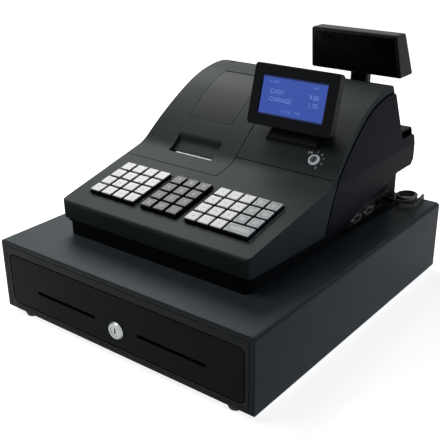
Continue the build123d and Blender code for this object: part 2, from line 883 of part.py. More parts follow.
def paper_lid():
    """Lid over the paper roll with a round rear edge that ends in two pins."""
    lid = case_shell & cover_band & paper_window(0)
    y, z = lid_hinge
    x0, x1 = lid_span
    lid -= block(x0 - 1, x1 + 1, y, past, skirt_rise, above)
    pins = rod_x(lid_pin, x0 - lid_pin_length, x1 + lid_pin_length, y, z)
    return lid + rod_x(lid_barrel, x0, x1, y, z) + pins


def display_panel():
    """Right hood with its inner wall beside the printer bay."""
    front = cover_seam_x + seam
    panel = case_shell & cover_band & block(front, far, hood_front, cover_rear, below, above)
    inner = prism_x(offset(profile, -wall / 2, kind=Kind.INTERSECTION), front, front + wall)
    panel += inner & block(front, front + wall, hood_front, cover_rear, inner_wall_low, above)
    return panel - mode_plane() * Cylinder(mode_body / 2 + seat, 2 * mode_length)


def mode_plane():
    cy, cz = hood_centre()
    angle = math.asin((cy - mode_y) / hood_radius)
    z = cz + hood_radius * math.cos(angle)
    return Plane(origin=(mode_x, mode_y, z), x_dir=(1, 0, 0), z_dir=(0, -math.sin(angle), math.cos(angle)))


def rear_cover():
    """Rear wall, cable ledge and hump between the side panels."""
    ahead = block(-far, far, 0, base_rear + 2, below - hump_floor, above)
    ring = outer_profile - prism_x(inner_face, -far, far)
    ring -= Pos(0, 0, -3 * wall) * (prism_x(inner_face, -far, far) & ahead)
    front = cover_rear + hinge_gap
    cover = ring & sides(wall) & block(-far, far, front, past, hump_floor - 1, above)
    y, z = cover_hinge
    top = z + hinge_drop - seat
    root = polygon([(front, z - hinge_ear), (front + wall, z - hinge_ear), (front + wall, top), (front, top)])
    ear = make_hull((root + Pos(y, z) * Circle(hinge_ear)).edges()) - Pos(y, z) * Circle(hinge_pin + pin_play)
    for x in hinge_places:
        cover += prism_x(ear, x - hinge_width / 2, x + hinge_width / 2) & outer_profile
    return cover - rod_z(collar / 2 + seat, ledge_height - collar, ledge_height + collar, swivel_x, swivel_y)


def base_outline(inset):
    return plan_outline(base_front_half, base_full_half, base_front + inset, base_flare_end, inset)


def lower_case():
    """Plinth with a rim under the case, a tongue inside it and inset walls round the connectors."""
    top = skirt_rise - seat
    high = hump_floor - seat
    ahead = block(-far, far, 0, skirt_break_front, below, above)
    body = prism_z(base_outline(0), 0, top) & block(-far, far, 0, base_rear, below, above)
    rim = plan_outline(front_half, full_half, lip_y + lip_rake + rim_step, flare_end, rim_step)
    tongue = prism_z(base_outline(wall + tongue_inset), top - wall, top + base_tongue)
    body += (prism_z(rim, top - wall, top) + tongue) & ahead
    inside = block(-far, far, 0, base_rear - wall, below, above)
    body -= prism_z(base_outline(wall), base_floor, top - wall) & inside
    body -= prism_z(base_outline(2 * wall + tongue_inset), base_floor, above) & inside
    cheek = polygon([(skirt_break_front, 0), (base_rear, 0), (base_rear, high), (skirt_break_rear, high),
                     (skirt_break_front, top)])
    bay = block(bay_half, far, skirt_break_front, base_rear + 1, base_floor, above)
    for item in both_sides(bay):
        body -= item
    body += both_sides(prism_x(cheek, bay_half - wall, bay_half))
    body += block(-bay_half, bay_half, base_rear - wall, base_rear, 0, high)
    window = block(bay_half - wall - 1, bay_half + 1, plate_start + plate_lap, plate_end - plate_lap,
                   plate_low + plate_lap, plate_high - plate_lap)
    inlet = block(inlet_x - inlet_width / 2, inlet_x + inlet_width / 2, base_rear - wall - 1, base_rear + 1,
                  inlet_z - inlet_height / 2, inlet_z + inlet_height / 2)
    return body - window - inlet


# ---- keyboard ----

def key_centre(block_data, row, column):
    first, pitch, count = block_data
    return first + column * pitch, row_start + row * row_pitch


def key_solid(x, along, width=key_base):
    """One key: square skirt, tapered cap and stem, in deck coordinates."""
    taper = math.degrees(math.atan((key_base - key_top) / 2 / (key_rise - 1)))
    skirt = Pos(0, 0, -key_sink) * extrude(Rectangle(width, key_base), amount=key_sink + 1)
    cap = Pos(0, 0, 1) * extrude(Rectangle(width, key_base), amount=key_rise - 1, taper=taper)
    stem = Pos(0, 0, -key_sink - 2) * Box(key_stem, key_stem, 4)
    return deck_plane() * Pos(x, along, 0) * (skirt + cap + stem)


def wide_key():
    first, pitch, count = right_block
    return key_solid(first + (count - 1.5) * pitch, row_start, key_base + pitch)


def keys_of(block_data, places):
    return [key_solid(*key_centre(block_data, row, column)) for row, column in places]


def all_key_places():
    """Centre and width of every key on the deck."""
    places = []
    for block_data in (left_block, middle_block, right_block):
        for row in range(rows):
            for column in range(block_data[2]):
                if block_data is right_block and row == 0 and column >= block_data[2] - 2:
                    continue
                places.append((*key_centre(block_data, row, column), key_base))
    first, pitch, count = right_block
    places.append((first + (count - 1.5) * pitch, row_start, key_base + pitch))
    return places


def keyboard_frame():
    """Dark plate under the deck whose raised pads fill the openings round the keys."""
    under = -wall
    middle = row_start + (rows - 1) / 2 * row_pitch
    plate = Pos(0, middle, under - grid_thick / 2) * Box(*grid_size, grid_thick)
    for first, pitch, count in (left_block, middle_block, right_block):
        width = (count - 1) * pitch + key_base + 2 * (block_margin - grid_gap)
        length = (rows - 1) * row_pitch + key_base + 2 * (block_margin - grid_gap)
        pad = Box(width, length, -grid_sink - under)
        plate += Pos(first + (count - 1) * pitch / 2, middle, (under - grid_sink) / 2) * pad
    for x, along, width in all_key_places():
        hole = Box(width + 2 * key_gap, key_base + 2 * key_gap, 2 * key_board_drop)
        plate -= Pos(x, along, -key_sink) * hole
    low, high = key_board_thick - key_board_drop, under - grid_thick / 2
    for x in (-board_post[0], board_post[0]):
        for along in (middle - board_post[1], middle + board_post[1]):
            plate += Pos(x, along, (low + high) / 2) * Cylinder(post_radius, high - low)
    return deck_plane() * plate


def key_board():
    middle = row_start + (rows - 1) / 2 * row_pitch
    board = Box(grid_size[0] - board_trim, grid_size[1], key_board_thick)
    return deck_plane() * Pos(0, middle, -key_board_drop + key_board_thick / 2) * board


# ---- mode lock ----

def mode_lock_ring():
    base = 0.05
    bore, body, rim = mode_bore / 2, mode_body / 2, mode_flange / 2
    low = 4 - mode_length
    section = polygon([(bore, mode_proud), (rim - 1.2, mode_proud), (rim, 0.8), (rim, base), (body, base),
                       (body, low), (bore, low)])
    return mode_plane() * revolve(Plane.XZ * section, Axis.Z)


def mode_lock_barrel():
    length = mode_length + mode_proud - 0.4
    barrel = Pos(0, 0, mode_proud - 0.4 - length / 2) * Cylinder(mode_barrel / 2, length)
    slot = Pos(0, 0, mode_proud) * Box(1.8, 6.6, 2 * 4.0)
    return mode_plane() * (barrel - slot)


# ---- operator display ----

def display_plane():
    angle = math.radians(display_lean)
    return Plane(origin=(display_x, display_y, display_z), x_dir=(1, 0, 0),
                 z_dir=(0, -math.cos(angle), math.sin(angle)))


def display_shape(inset, depth):
    """Rounded outline of the display, inset on every side, at a depth behind its face."""
    radius = max(display_corner - inset, 1.5)
    return Pos(0, 0, -depth) * RectangleRounded(display_width - 2 * inset, display_height - 2 * inset, radius)


def display_front():
    frame = extrude(display_shape(0, bezel_thick), amount=bezel_thick)
    frame = chamfer(frame.faces().sort_by(Axis.Z)[-1].outer_wire().edges(), 0.8)
    window = Pos(0, 0, -bezel_thick / 2) * Box(screen_width, screen_height, 2 * bezel_thick)
    return display_plane() * (frame - window)


def display_back():
    """Rear shell: straight rim, tapered back and two lugs for the tilt pin."""
    skin = 2.2
    rim = extrude(display_shape(0, display_rim), amount=display_rim - bezel_thick)
    tail = loft([display_shape(0, display_rim), display_shape(display_inset, display_rim + display_bulge)])
    hollow = extrude(display_shape(skin, display_rim), amount=display_rim)
    hollow += loft([display_shape(skin, display_rim),
                    display_shape(display_inset + skin, display_rim + display_bulge - skin)])
    shell = display_plane() * (rim + tail - hollow)
    y, z = tilt_axis
    angle = math.radians(display_lean)
    anchor = display_rim + 2.0
    reach = display_height / 2 - 8
    ay = display_y + anchor * math.cos(angle) - reach * math.sin(angle)
    az = display_z - anchor * math.sin(angle) - reach * math.cos(angle)
    arm = make_hull((Pos(y, z) * Circle(tilt_barrel - 0.5) + Pos(ay, az + 4) * Circle(4.0)).edges())
    start = neck_head_half + lug_gap
    lug = prism_x(arm, start, start + lug_thick)
    for item in both_sides(lug):
        shell += Pos(display_x, 0, 0) * item - display_plane() * hollow
    return shell - rod_x(tilt_bore / 2, display_x - 60, display_x + 60, y, z)


def display_screen():
    """Screen module: glass in the bezel's window on a board behind it."""
    glass = Pos(0, 0, -(bezel_thick + screen_sink) / 2) \
        * Box(screen_width - 0.5, screen_height - 0.5, bezel_thick - screen_sink)
    board = Pos(0, 0, -bezel_thick - 2) * Box(screen_width + 8, screen_height + 8, 4)
    return display_plane() * (glass + board)


def display_neck():
    y, z = tilt_axis
    front, rear = y - 20, y + neck_depth - 4
    side = polygon([(front, 100), (front, 118), (y - tilt_barrel + 0.8, z - 0.5), (y, z + tilt_barrel - 0.2),
                    (y + tilt_barrel - 0.5, z + 2), (rear, z), (rear, 100)])
    side += Pos(y, z) * Circle(tilt_barrel)
    outline = [(neck_half, 100), (neck_head_half, z - 8), (neck_head_half, z + 20)]
    view = polygon(outline + [(-x, high) for x, high in reversed(outline)])
    body = prism_x(side, -60, 60) & prism_y(view, 240, 320)
    return Pos(display_x, 0, 0) * body - Pos(0, 0, neck_joint) * outer_profile


def tilt_pin_rod():
    half = neck_head_half + lug_gap + lug_thick
    return rod_x(tilt_pin / 2, display_x - half, display_x + half, *tilt_axis)


# ---- rear display ----

def rear_display_shape(inset):
    low, high = rear_display_low + inset, rear_display_high - inset
    front, back = rear_display_front, rear_display_back
    side = polygon([(front[0] + inset, low), (back[0] - inset * 1.4, low), (back[1] - inset, high),
                    (front[1] + inset, high)])
    side = fillet(side.vertices(), 2.5)
    wide, narrow = rear_display_half
    view = polygon([(wide - inset, low), (narrow - inset, high), (inset - narrow, high), (inset - wide, low)])
    view = fillet(view.vertices(), 3.0)
    return Pos(swivel_x, 0, 0) * (prism_x(side, -80, 80) & prism_y(view, 390, 470))


def window_plane():
    low, high = rear_display_low, rear_display_high
    rise = high - low
    run = rear_display_back[0] - rear_display_back[1]
    length = math.hypot(rise, run)
    middle = sum(rear_display_back) / 2
    outward = (0, rise / length, run / length)
    return Plane(origin=(swivel_x, middle, (low + high) / 2), x_dir=(-1, 0, 0), z_dir=outward)


def rear_display_housing():
    shell = rear_display_shape(0) - rear_display_shape(wall)
    window = window_plane() * Box(window_width, window_height, 4 * wall)
    hole = Pos(swivel_x, swivel_y, rear_display_low) * Cylinder(post_head / 2 + 0.1, 4 * wall)
    return shell - window - hole


def rear_display_window():
    return window_plane() * Pos(0, 0, -1.6) * Box(window_width - 0.4, window_height - 0.4, 2.4)


def rear_post():
    """Column on the cable ledge with a round head that the rear display turns on."""
    top = rear_display_low - 0.4
    section = RectangleRounded(post_width, post_depth, post_corner)
    column = Pos(0, 0, ledge_height) * extrude(section, amount=top - ledge_height)
    head_top = rear_display_low + wall + 0.4
    head = Pos(0, 0, top) * extrude(Circle(post_head / 2), amount=head_top - top)
    washer = Pos(0, 0, head_top) * extrude(Circle(post_head / 2 + 3), amount=2)
    peg = Pos(0, 0, ledge_height - 8) * extrude(Circle(collar / 2), amount=8)
    return Pos(swivel_x, swivel_y, 0) * (column + head + washer + peg)


# ---- printer ----

def printer_frame():
    """Folded steel frame: two side plates with shaft holes and a cross plate."""
    y, z = platen_axis
    front, rear = y - frame_front, y + frame_rear
    plate = polygon([(front, base_floor), (rear, base_floor), (rear, z + 14), (y + 3, z + 13),
                     (front, z + 3)])
    plate -= Pos(y, z) * Circle(platen_bore / 2)
    half = platen_length / 2 + 3
    left = prism_x(plate, printer_x - half - 2, printer_x - half)
    right = prism_x(plate, printer_x + half, printer_x + half + 2)
    cross = block(printer_x - half, printer_x + half, front, rear, z - cross_drop, z - cross_drop + 2)
    return left + right + cross


def platen_roller():
    half = platen_length / 2
    roller = rod_x(platen_size / 2, printer_x - half, printer_x + half, *platen_axis)
    shaft = rod_x(platen_shaft / 2, printer_x - half - 6.5, printer_x + half + 11, *platen_axis)
    wheel = rod_x(8.5, printer_x + half + 6, printer_x + half + 10, *platen_axis)
    return roller + shaft + wheel


def print_head():
    y, z = platen_axis
    half = platen_length / 2
    head = block(printer_x - half + 1, printer_x + half - 1, y + platen_size / 2 + 0.4, y + 11, z - 12, z + 9)
    sink = block(printer_x - half - 3, printer_x + half + 3, y + 11, y + 14, z - 30, z + 10)
    return head + sink


def paper_cradle():
    """Trough for the paper roll with end cheeks, on a foot."""
    y, centre = roll_axis
    z = centre - roll_size / 2 - glide_gap + cradle_radius
    top = z + 20
    half = roll_width / 2 + 1
    reach = cradle_radius + cradle_wall
    outer = Circle(reach) + Pos(0, 10) * Rectangle(2 * reach, 20)
    inner = Circle(cradle_radius) + Pos(0, 10.5) * Rectangle(2 * cradle_radius, 21)
    outer -= Pos(0, 40) * Rectangle(200, 40)
    body = prism_x(Pos(y, z) * outer, printer_x - half - cradle_wall, printer_x + half + cradle_wall)
    inner += Pos(0, 30) * Rectangle(2 * cradle_radius, 30)
    body -= prism_x(Pos(y, z) * inner, printer_x - half, printer_x + half)
    return body + block(printer_x - 20, printer_x + 20, y - 10, y + 10, base_floor, z - reach + 0.8)


def paper_roll():
    roll = Circle(roll_size / 2) - Circle(roll_core / 2)
    return prism_x(Pos(*roll_axis) * roll, printer_x - roll_width / 2, printer_x + roll_width / 2)


def tear_bar():
    """Serrated strip along the front of the paper exit, tucked under the cover's edge."""
    drop = -wall - 0.15
    tip = cutter_reach
    foot = drop - 1.1
    section = polygon([(0.2, -0.4), (tip, -0.4), (tip, -1.4), (1.4, -1.4), (1.4, foot), (-4, foot),
                       (-4, drop), (0.2, drop)])
    bar = prism_x(section, *cutter_span)
    teeth = 20
    pitch = (cutter_span[1] - cutter_span[0]) / teeth
    for i in range(teeth):
        x = cutter_span[0] + i * pitch
        notch = polygon([(x, tip + 0.5), (x + pitch / 2, tip - 1.4), (x + pitch, tip + 0.5)])
        bar -= prism_z(notch, -2, 0)
    angle = math.radians(surface_slope(exit_front))
    slope = Plane(origin=(0, exit_front, surface_height(exit_front)), x_dir=(1, 0, 0),
                  z_dir=(0, -math.sin(angle), math.cos(angle)))
    return slope * bar


# ---- electronics and sockets ----

def main_board():
    low = base_floor + board_lift
    x0, x1, y0, y1 = board_area
    board = block(x0, x1, y0, y1, low, low + key_board_thick)
    for x, y, width, depth, height in ((42, 34, 34, 34, 3), (92, 44, 24, 24, 3), (142, 24, 30, 12, 9),
                                       (112, 89, 60, 9, 8), (27, 89, 22, 22, 12)):
        chip = Pos(x0 + x, y0 + y, low + (key_board_thick + height) / 2)
        board += chip * Box(width, depth, key_board_thick + height)
    inset = 2 * board_leg
    for x in (x0 + inset, x1 - inset):
        for y in (y0 + inset, y1 - inset):
            board += block(x - board_leg, x + board_leg, y - board_leg, y + board_leg, base_floor, low)
    return board


def power_supply():
    x0, x1, y0, y1 = supply_area
    low = base_floor
    tray = block(x0, x1, y0, y1, low, low + sheet)
    core = block(x0 + 8, x1 - 8, y0 + 8, y0 + 56, low, low + 34)
    winding = block(x0 + 16, x1 - 16, y0 + 2, y0 + 62, low + 8, low + 28)
    caps = [rod_z(9, low, low + 30, x0 + x, y1 - 47) for x in (18, 40)]
    sink = block(x0 + 6, x1 - 6, y1 - 22, y1 - 16, low, low + 30)
    return tray + core + winding + caps + sink


def connector_plate():
    plate = block(bay_half, bay_half + 1, plate_start, plate_end, plate_low, plate_high)
    for y in jack_places:
        hole = Pos(y, jack_z) * Rectangle(jack_width + 2 * seat, jack_height + 2 * seat)
        plate -= prism_x(hole, bay_half - 1, bay_half + 2)
    for y in serial_places:
        plate -= block(bay_half - 1, bay_half + 2, y - 13, y + 13, jack_z - 5.2, jack_z + 5.2)
    return plate


def jack(y):
    """Modular jack: a box with a stepped opening for the plug."""
    x0, x1 = bay_half + 1.6 - jack_depth, bay_half + 1.6
    body = prism_x(Pos(y, jack_z) * Rectangle(jack_width, jack_height), x0, x1)
    body -= block(x0 + 1.5, x1 + 1, y - 5.2, y + 5.2, jack_z - 3.6, jack_z + 3.4)
    return body - block(x0 + 4, x1 + 1, y - 2.6, y + 2.6, jack_z - 5.2, jack_z)


def serial_port(y):
    """Nine-pin port: D-shaped shell round a tongue, with two jack posts."""
    x0 = bay_half - 4
    shell = RectangleRounded(17.6, 9.4, 2.4)
    ring = Plane.YZ * (shell - RectangleRounded(16.2, 8.0, 1.8))
    port = Pos(x0, y, jack_z) * extrude(ring, amount=10.5)
    port += Pos(x0, y, jack_z) * extrude(Plane.YZ * shell, amount=4.5)
    port += Pos(x0, y, jack_z) * extrude(Plane.YZ * Rectangle(25.6, 10), amount=4.5)
    for side in (-1, 1):
        port += prism_x(Pos(y + side * 11, jack_z) * RegularPolygon(2.6, 6), bay_half - 2, bay_half + 5)
    return port


def power_inlet():
    """Mains inlet in the rear wall: flanged box with three blades."""
    shell = Rectangle(inlet_width - 2 * seat, inlet_height - 2 * seat)
    flange_face = Rectangle(inlet_width + 2 * inlet_rim, inlet_height + 2 * inlet_rim)
    well = Rectangle(inlet_width - 2 * inlet_rim, inlet_height - 2 * inlet_rim)
    well = chamfer(well.vertices().sort_by(Axis.Y)[-2:], 4)
    place = Pos(inlet_x, inlet_z)
    body = prism_y(place * shell, base_rear - 20, base_rear + 0.1)
    body += prism_y(place * flange_face, base_rear + 0.1, base_rear + inlet_rim)
    body -= prism_y(place * well, base_rear - 15, base_rear + 3)
    for x, z in ((-7, -1.5), (7, -1.5), (0, 2.5)):
        body += prism_y(place * Pos(x, z) * Rectangle(2, 4), base_rear - 16, base_rear - 5)
    return body


def screw_head(plane):
    """Pan head with a slot."""
    head = Cylinder(screw_radius, screw_rise, align=(Align.CENTER, Align.CENTER, Align.MIN))
    head = chamfer(head.edges().sort_by(Axis.Z)[-1], screw_rise / 2)
    return plane * (head - Pos(0, 0, screw_rise) * Box(0.8, 2 * screw_radius, screw_rise))


def case_screws():
    found = []
    for side in (-1, 1):
        for y, z in side_screws:
            place = Plane(origin=(side * bay_half, y, z), x_dir=(0, 1, 0), z_dir=(side, 0, 0))
            found.append(screw_head(place))
    for x, z in rear_screws:
        found.append(screw_head(Plane(origin=(x, base_rear, z), x_dir=(1, 0, 0), z_dir=(0, 1, 0))))
    return found


# ---- drawer cable ----

def cable_path(points):
    """Straight runs joined by arcs as large as the runs allow, printed as a list of radii."""
    spots = [Vector(*p) for p in points]
    radii = []
    for before, here, after in zip(spots, spots[1:], spots[2:]):
        turn = (here - before).get_angle(after - here)
        shorter = min((here - before).length, (after - here).length)
        radii.append(0.45 * shorter / math.tan(math.radians(turn) / 2))
    path = FilletPolyline(*points, radius=radii)
    return path, radii


def cable_tube(points):
    path, radii = cable_path(points)
    tube = sweep(Plane(origin=path @ 0, z_dir=path % 0) * Circle(cable_size / 2), path=path)
    section = math.pi * cable_size ** 2 / 4
    print("cable radii", [round(r, 1) for r in radii], "length", round(path.length, 1),
          "volume ratio", round(tube.volume / (section * path.length), 4))
    return tube


def cable_coil():
    x, y = coil_centre
    outer, inner = coil_radius + cable_size / 2 + 0.2, coil_radius - cable_size / 2 - 0.2
    return Pos(x, y, coil_low) * extrude(Circle(outer) - Circle(inner), amount=coil_height)


def cable_plug():
    y = jack_places[-1]
    x = bay_half + 1.6
    plug = block(x - 9, x + 1.5, y - 4.8, y + 4.8, jack_z - 3.2, jack_z + 3.0)
    boot = prism_x(Pos(y, jack_z) * Circle(3.6), x + 1.5, x + 8)
    tip = Plane(origin=(x + 8, y, jack_z), x_dir=(0, 1, 0), z_dir=(1, 0, 0)) * \
        extrude(Circle(3.6), amount=cable_lead_points[0][0] - x - 8 - cable_gap, taper=9)
    return plug + boot + tip


def cable_gland():
    x, y, z = cable_end
    grip = rod_y(gland_radius, box_depth, y - cable_gap, x, z)
    return grip + rod_y(gland_neck, box_depth - 3 * sheet, box_depth, x, z)


lift = Pos(0, 0, case_z)


def add_case(name, *solids):
    """Keep a sub-part that is drawn with heights above the drawer."""
    add(name, *[lift * item for item in solids])


add("drawer_cover", drawer_cover())
add("front_frame", front_frame())
add("base_pan", base_pan())
add("rubber_feet", *rubber_feet())
add("cabinet_rails", *cabinet_rails(), *front_glides())
add("drawer_runners", *drawer_runners(), *rear_glides())
add("drawer_front", drawer_front())
add("drawer_tray", drawer_tray())
add("striker", striker())
add("lock_ring", lock_ring())
add("lock_barrel", lock_turner())
add("till_insert", till_insert())
add("bill_clips", bill_clips())
add("latch_solenoid", latch_bracket(), *solenoid())
add("latch_lever", latch_lever())
add("solenoid_plunger", solenoid_plunger())
add("eject_spring", eject_spring())

add_case("lower_case", lower_case())
add_case("upper_case", upper_case())
add_case("side_panels", side_panel(1), side_panel(-1))
add_case("display_panel", display_panel())
add_case("rear_cover", rear_cover())
add_case("keyboard_frame", keyboard_frame() + key_board())
left_places = [(row, column) for row in range(rows) for column in range(left_block[2])]
right_white = [(row, column) for row in range(rows) for column in range(3)]
right_grey = [(row, column) for row in range(1, rows) for column in (3, 4)]
add_case("white_keys", *keys_of(left_block, left_places), *keys_of(right_block, right_white))
add_case("function_keys", *keys_of(right_block, right_grey), wide_key())
digits = (("0", "00", "point"), ("1", "2", "3"), ("4", "5", "6"), ("7", "8", "9"))
for row, names in enumerate(digits):
    for column, digit in enumerate(names):
        add_case("key_" + digit, *keys_of(middle_block, [(row, column)]))
add_case("mode_lock_ring", mode_lock_ring())
add_case("mode_lock_barrel", mode_lock_barrel())
add_case("display_front", display_front())
add_case("display_back", display_back())
add_case("display_screen", display_screen())
add_case("display_neck", display_neck() + tilt_pin_rod())
add_case("rear_post", rear_post())
add_case("rear_display_housing", rear_display_housing())
add_case("rear_display_window", rear_display_window())
add_case("printer_cover", printer_cover())
add_case("paper_lid", paper_lid())
add_case("tear_bar", tear_bar())
add_case("printer_frame", printer_frame(), print_head(), paper_cradle())
add_case("platen_roller", platen_roller())
add_case("paper_roll", paper_roll())
add_case("main_board", main_board())
add_case("power_supply", power_supply())
sockets = [jack(y) for y in jack_places] + [serial_port(y) for y in serial_places]
add_case("socket_panel", connector_plate(), *sockets)
add_case("power_inlet", power_inlet())
add_case("case_screws", *case_screws())
runs = [cable_tube(points) - cable_coil() for points in (cable_lead_points, cable_tail_points)]
add_case("drawer_cable", *runs)
add_case("cable_coil", cable_coil())
add_case("cable_fittings", cable_plug(), cable_gland())

os.makedirs("parts", exist_ok=True)
middle_y = (box_depth - lock_proud) / 2
print(len(nodes), "sub-parts, origin", round(middle_y, 3), "behind the drawer face")
for name, solids in nodes.items():
    moved = [Pos(0, -middle_y, 0) * item for item in solids]
    export_step(moved[0] if len(moved) == 1 else Compound(children=moved), "parts/" + name + ".step")
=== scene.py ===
import math
import bmesh
import bpy
from mathutils import Matrix, Vector


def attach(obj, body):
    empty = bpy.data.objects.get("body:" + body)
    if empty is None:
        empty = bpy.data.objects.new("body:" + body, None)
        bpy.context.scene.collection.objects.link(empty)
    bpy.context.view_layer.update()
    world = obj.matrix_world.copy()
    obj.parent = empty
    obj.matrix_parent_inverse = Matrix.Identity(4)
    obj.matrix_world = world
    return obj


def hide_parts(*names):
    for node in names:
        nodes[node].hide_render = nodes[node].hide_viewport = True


# Electronic cash register on its cash drawer. Metres, origin under the middle of the drawer.

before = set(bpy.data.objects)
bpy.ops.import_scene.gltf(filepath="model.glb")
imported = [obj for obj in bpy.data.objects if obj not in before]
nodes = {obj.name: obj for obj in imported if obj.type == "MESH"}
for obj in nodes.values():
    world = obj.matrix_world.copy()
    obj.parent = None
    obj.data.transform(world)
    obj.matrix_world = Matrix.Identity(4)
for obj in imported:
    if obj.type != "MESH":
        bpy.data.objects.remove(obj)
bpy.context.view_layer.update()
mm = 0.001
frontDepth = 227.0  # mm from the front of the drawer's cover to the origin
drawerTop = 106.5  # mm from the floor to the drawer's top
print("frame loaded:", len(nodes), "nodes")

camera = {
    "place": (0.6095, -0.8005, 0.5453),
    "azimuth": 38.036,  # degrees round from straight in front
    "elevation": 23.547,
    "roll": -0.604,
    "lens": 65.26,
    "sensor": 36.0,
    "nearest": 0.05,
}


def makeCamera(settings):
    around = math.radians(settings["azimuth"])
    down = math.radians(settings["elevation"])
    roll = math.radians(settings["roll"])
    level = math.cos(down)
    forward = Vector((-math.sin(around) * level, math.cos(around) * level, -math.sin(down)))
    right = Vector((math.cos(around), math.sin(around), 0))
    up = right.cross(forward)
    across = right * math.cos(roll) + up * math.sin(roll)
    upward = up * math.cos(roll) - right * math.sin(roll)
    data = bpy.data.cameras.new("mainCamera")
    data.lens = settings["lens"]
    data.sensor_width = settings["sensor"]
    data.clip_start = settings["nearest"]
    made = bpy.data.objects.new("mainCamera", data)
    turn = Matrix((across, upward, -forward)).transposed().to_4x4()
    made.matrix_world = Matrix.Translation(settings["place"]) @ turn
    bpy.context.collection.objects.link(made)
    bpy.context.scene.camera = made


makeCamera(camera)


def linear(colour):
    channels = [int(colour[i:i + 2], 16) / 255 for i in (1, 3, 5)]
    return [c / 12.92 if c <= 0.04045 else ((c + 0.055) / 1.055) ** 2.4 for c in channels] + [1.0]


def addNode(tree, kind, inputs=None, **settings):  # settings are attributes, inputs are values or links
    made = tree.nodes.new(kind)
    for name, value in settings.items():
        setattr(made, name, value)
    for name, value in (inputs or {}).items():
        if isinstance(value, bpy.types.NodeSocket):
            tree.links.new(value, made.inputs[name])
        else:
            made.inputs[name].default_value = value
    return made


def perMetre(size):  # texture scale whose features are about this many mm across
    return 1000.0 / size


def startMaterial(name):
    made = bpy.data.materials.new(name)
    made.use_nodes = True
    tree = made.node_tree
    shader = tree.nodes["Principled BSDF"]
    where = addNode(tree, "ShaderNodeTexCoord").outputs["Object"]
    return made, tree, shader, where


def joinSurface(tree, shader, colour, roughness, normal=None):
    tree.links.new(colour, shader.inputs["Base Color"])
    tree.links.new(roughness, shader.inputs["Roughness"])
    if normal:
        tree.links.new(normal, shader.inputs["Normal"])


# the mask paints the edges paler: partly rubbed wear, partly a painted edge highlight
def wornEdges(tree, radius):  # a normal that rounds the sharp edges, and a mask that is 1 along them
    soft = addNode(tree, "ShaderNodeBevel", {"Radius": radius * mm}, samples=4).outputs["Normal"]
    flat = addNode(tree, "ShaderNodeNewGeometry").outputs["Normal"]
    same = addNode(tree, "ShaderNodeVectorMath", {0: soft, 1: flat}, operation="DOT_PRODUCT")
    wearAndHighlight = addNode(tree, "ShaderNodeMapRange", {"Value": same.outputs["Value"], "From Min": 0.99,
                                                "From Max": 0.85})
    return soft, wearAndHighlight.outputs["Result"]


noiseRange = {"From Min": 0.35, "From Max": 0.65}  # stretch of the noise over which a change runs


def patchyTint(tree, where, colour, pale, rubbedAndHighlit, patchSize, edgeRadius):
    # two close shades in broad patches, with edges painted paler as rubbed wear and as a painted highlight,
    # and the normal that rounds those edges
    broad = addNode(tree, "ShaderNodeTexNoise", {"Vector": where, "Scale": perMetre(patchSize),
                                                 "Detail": 2.0}).outputs["Fac"]
    patch = addNode(tree, "ShaderNodeMapRange", {"Value": broad, **noiseRange}).outputs["Result"]
    tint = addNode(tree, "ShaderNodeMix", {"Factor": patch, 6: linear(colour), 7: linear(pale)},
                   data_type="RGBA").outputs[2]
    soft, wearAndHighlight = wornEdges(tree, edgeRadius)
    tint = addNode(tree, "ShaderNodeMix", {"Factor": wearAndHighlight, 6: tint, 7: linear(rubbedAndHighlit)},
                   data_type="RGBA").outputs[2]
    return tint, soft


def mouldedAbs(name, colour, pale, rubbedAndHighlit, roughness=0.48, grain=1.1, sheen=0.1):
    # ABS moulded in a spark-eroded tool: an even fine grain that spreads highlights, and edges painted paler,
    # partly as rubbed wear and partly as a painted highlight. The grain is drawn coarser than the real 0.2
    # mm, so that it shows.
    made, tree, shader, where = startMaterial(name)
    fine = addNode(tree, "ShaderNodeTexNoise", {"Vector": where, "Scale": perMetre(grain), "Detail": 3.0,
                                                "Roughness": 0.6}).outputs["Fac"]
    tint, soft = patchyTint(tree, where, colour, pale, rubbedAndHighlit, 70, 0.6)
    bump = addNode(tree, "ShaderNodeBump", {"Height": fine, "Strength": 0.2, "Distance": 0.05 * mm,
                                            "Normal": soft})
    gloss = addNode(tree, "ShaderNodeMapRange", {"Value": fine, **noiseRange, "To Min": roughness - 0.05,
                                                 "To Max": roughness + 0.07})
    joinSurface(tree, shader, tint, gloss.outputs["Result"], bump.outputs["Normal"])
    shader.inputs["IOR"].default_value = 1.54
    shader.inputs["Specular IOR Level"].default_value = sheen
    return made


def powderCoat(name, colour, pale, rubbedAndHighlit, sheen):
    # Powder baked on folded steel: slight orange peel with a soft sheen, the folds painted paler, partly as
    # rubbed wear and partly as a painted highlight.
    # The peel is drawn a little coarser than the real 1 mm.
    made, tree, shader, where = startMaterial(name)
    peel = addNode(tree, "ShaderNodeTexNoise", {"Vector": where, "Scale": perMetre(1.6), "Detail": 2.0,
                                                "Roughness": 0.45}).outputs["Fac"]
    tint, soft = patchyTint(tree, where, colour, pale, rubbedAndHighlit, 110, 0.8)
    bump = addNode(tree, "ShaderNodeBump", {"Height": peel, "Strength": 0.25, "Distance": 0.06 * mm,
                                            "Normal": soft})
    gloss = addNode(tree, "ShaderNodeMapRange", {"Value": peel, **noiseRange, "To Min": 0.38, "To Max": 0.48})
    joinSurface(tree, shader, tint, gloss.outputs["Result"], bump.outputs["Normal"])
    shader.inputs["IOR"].default_value = 1.5
    shader.inputs["Specular IOR Level"].default_value = sheen
    return made


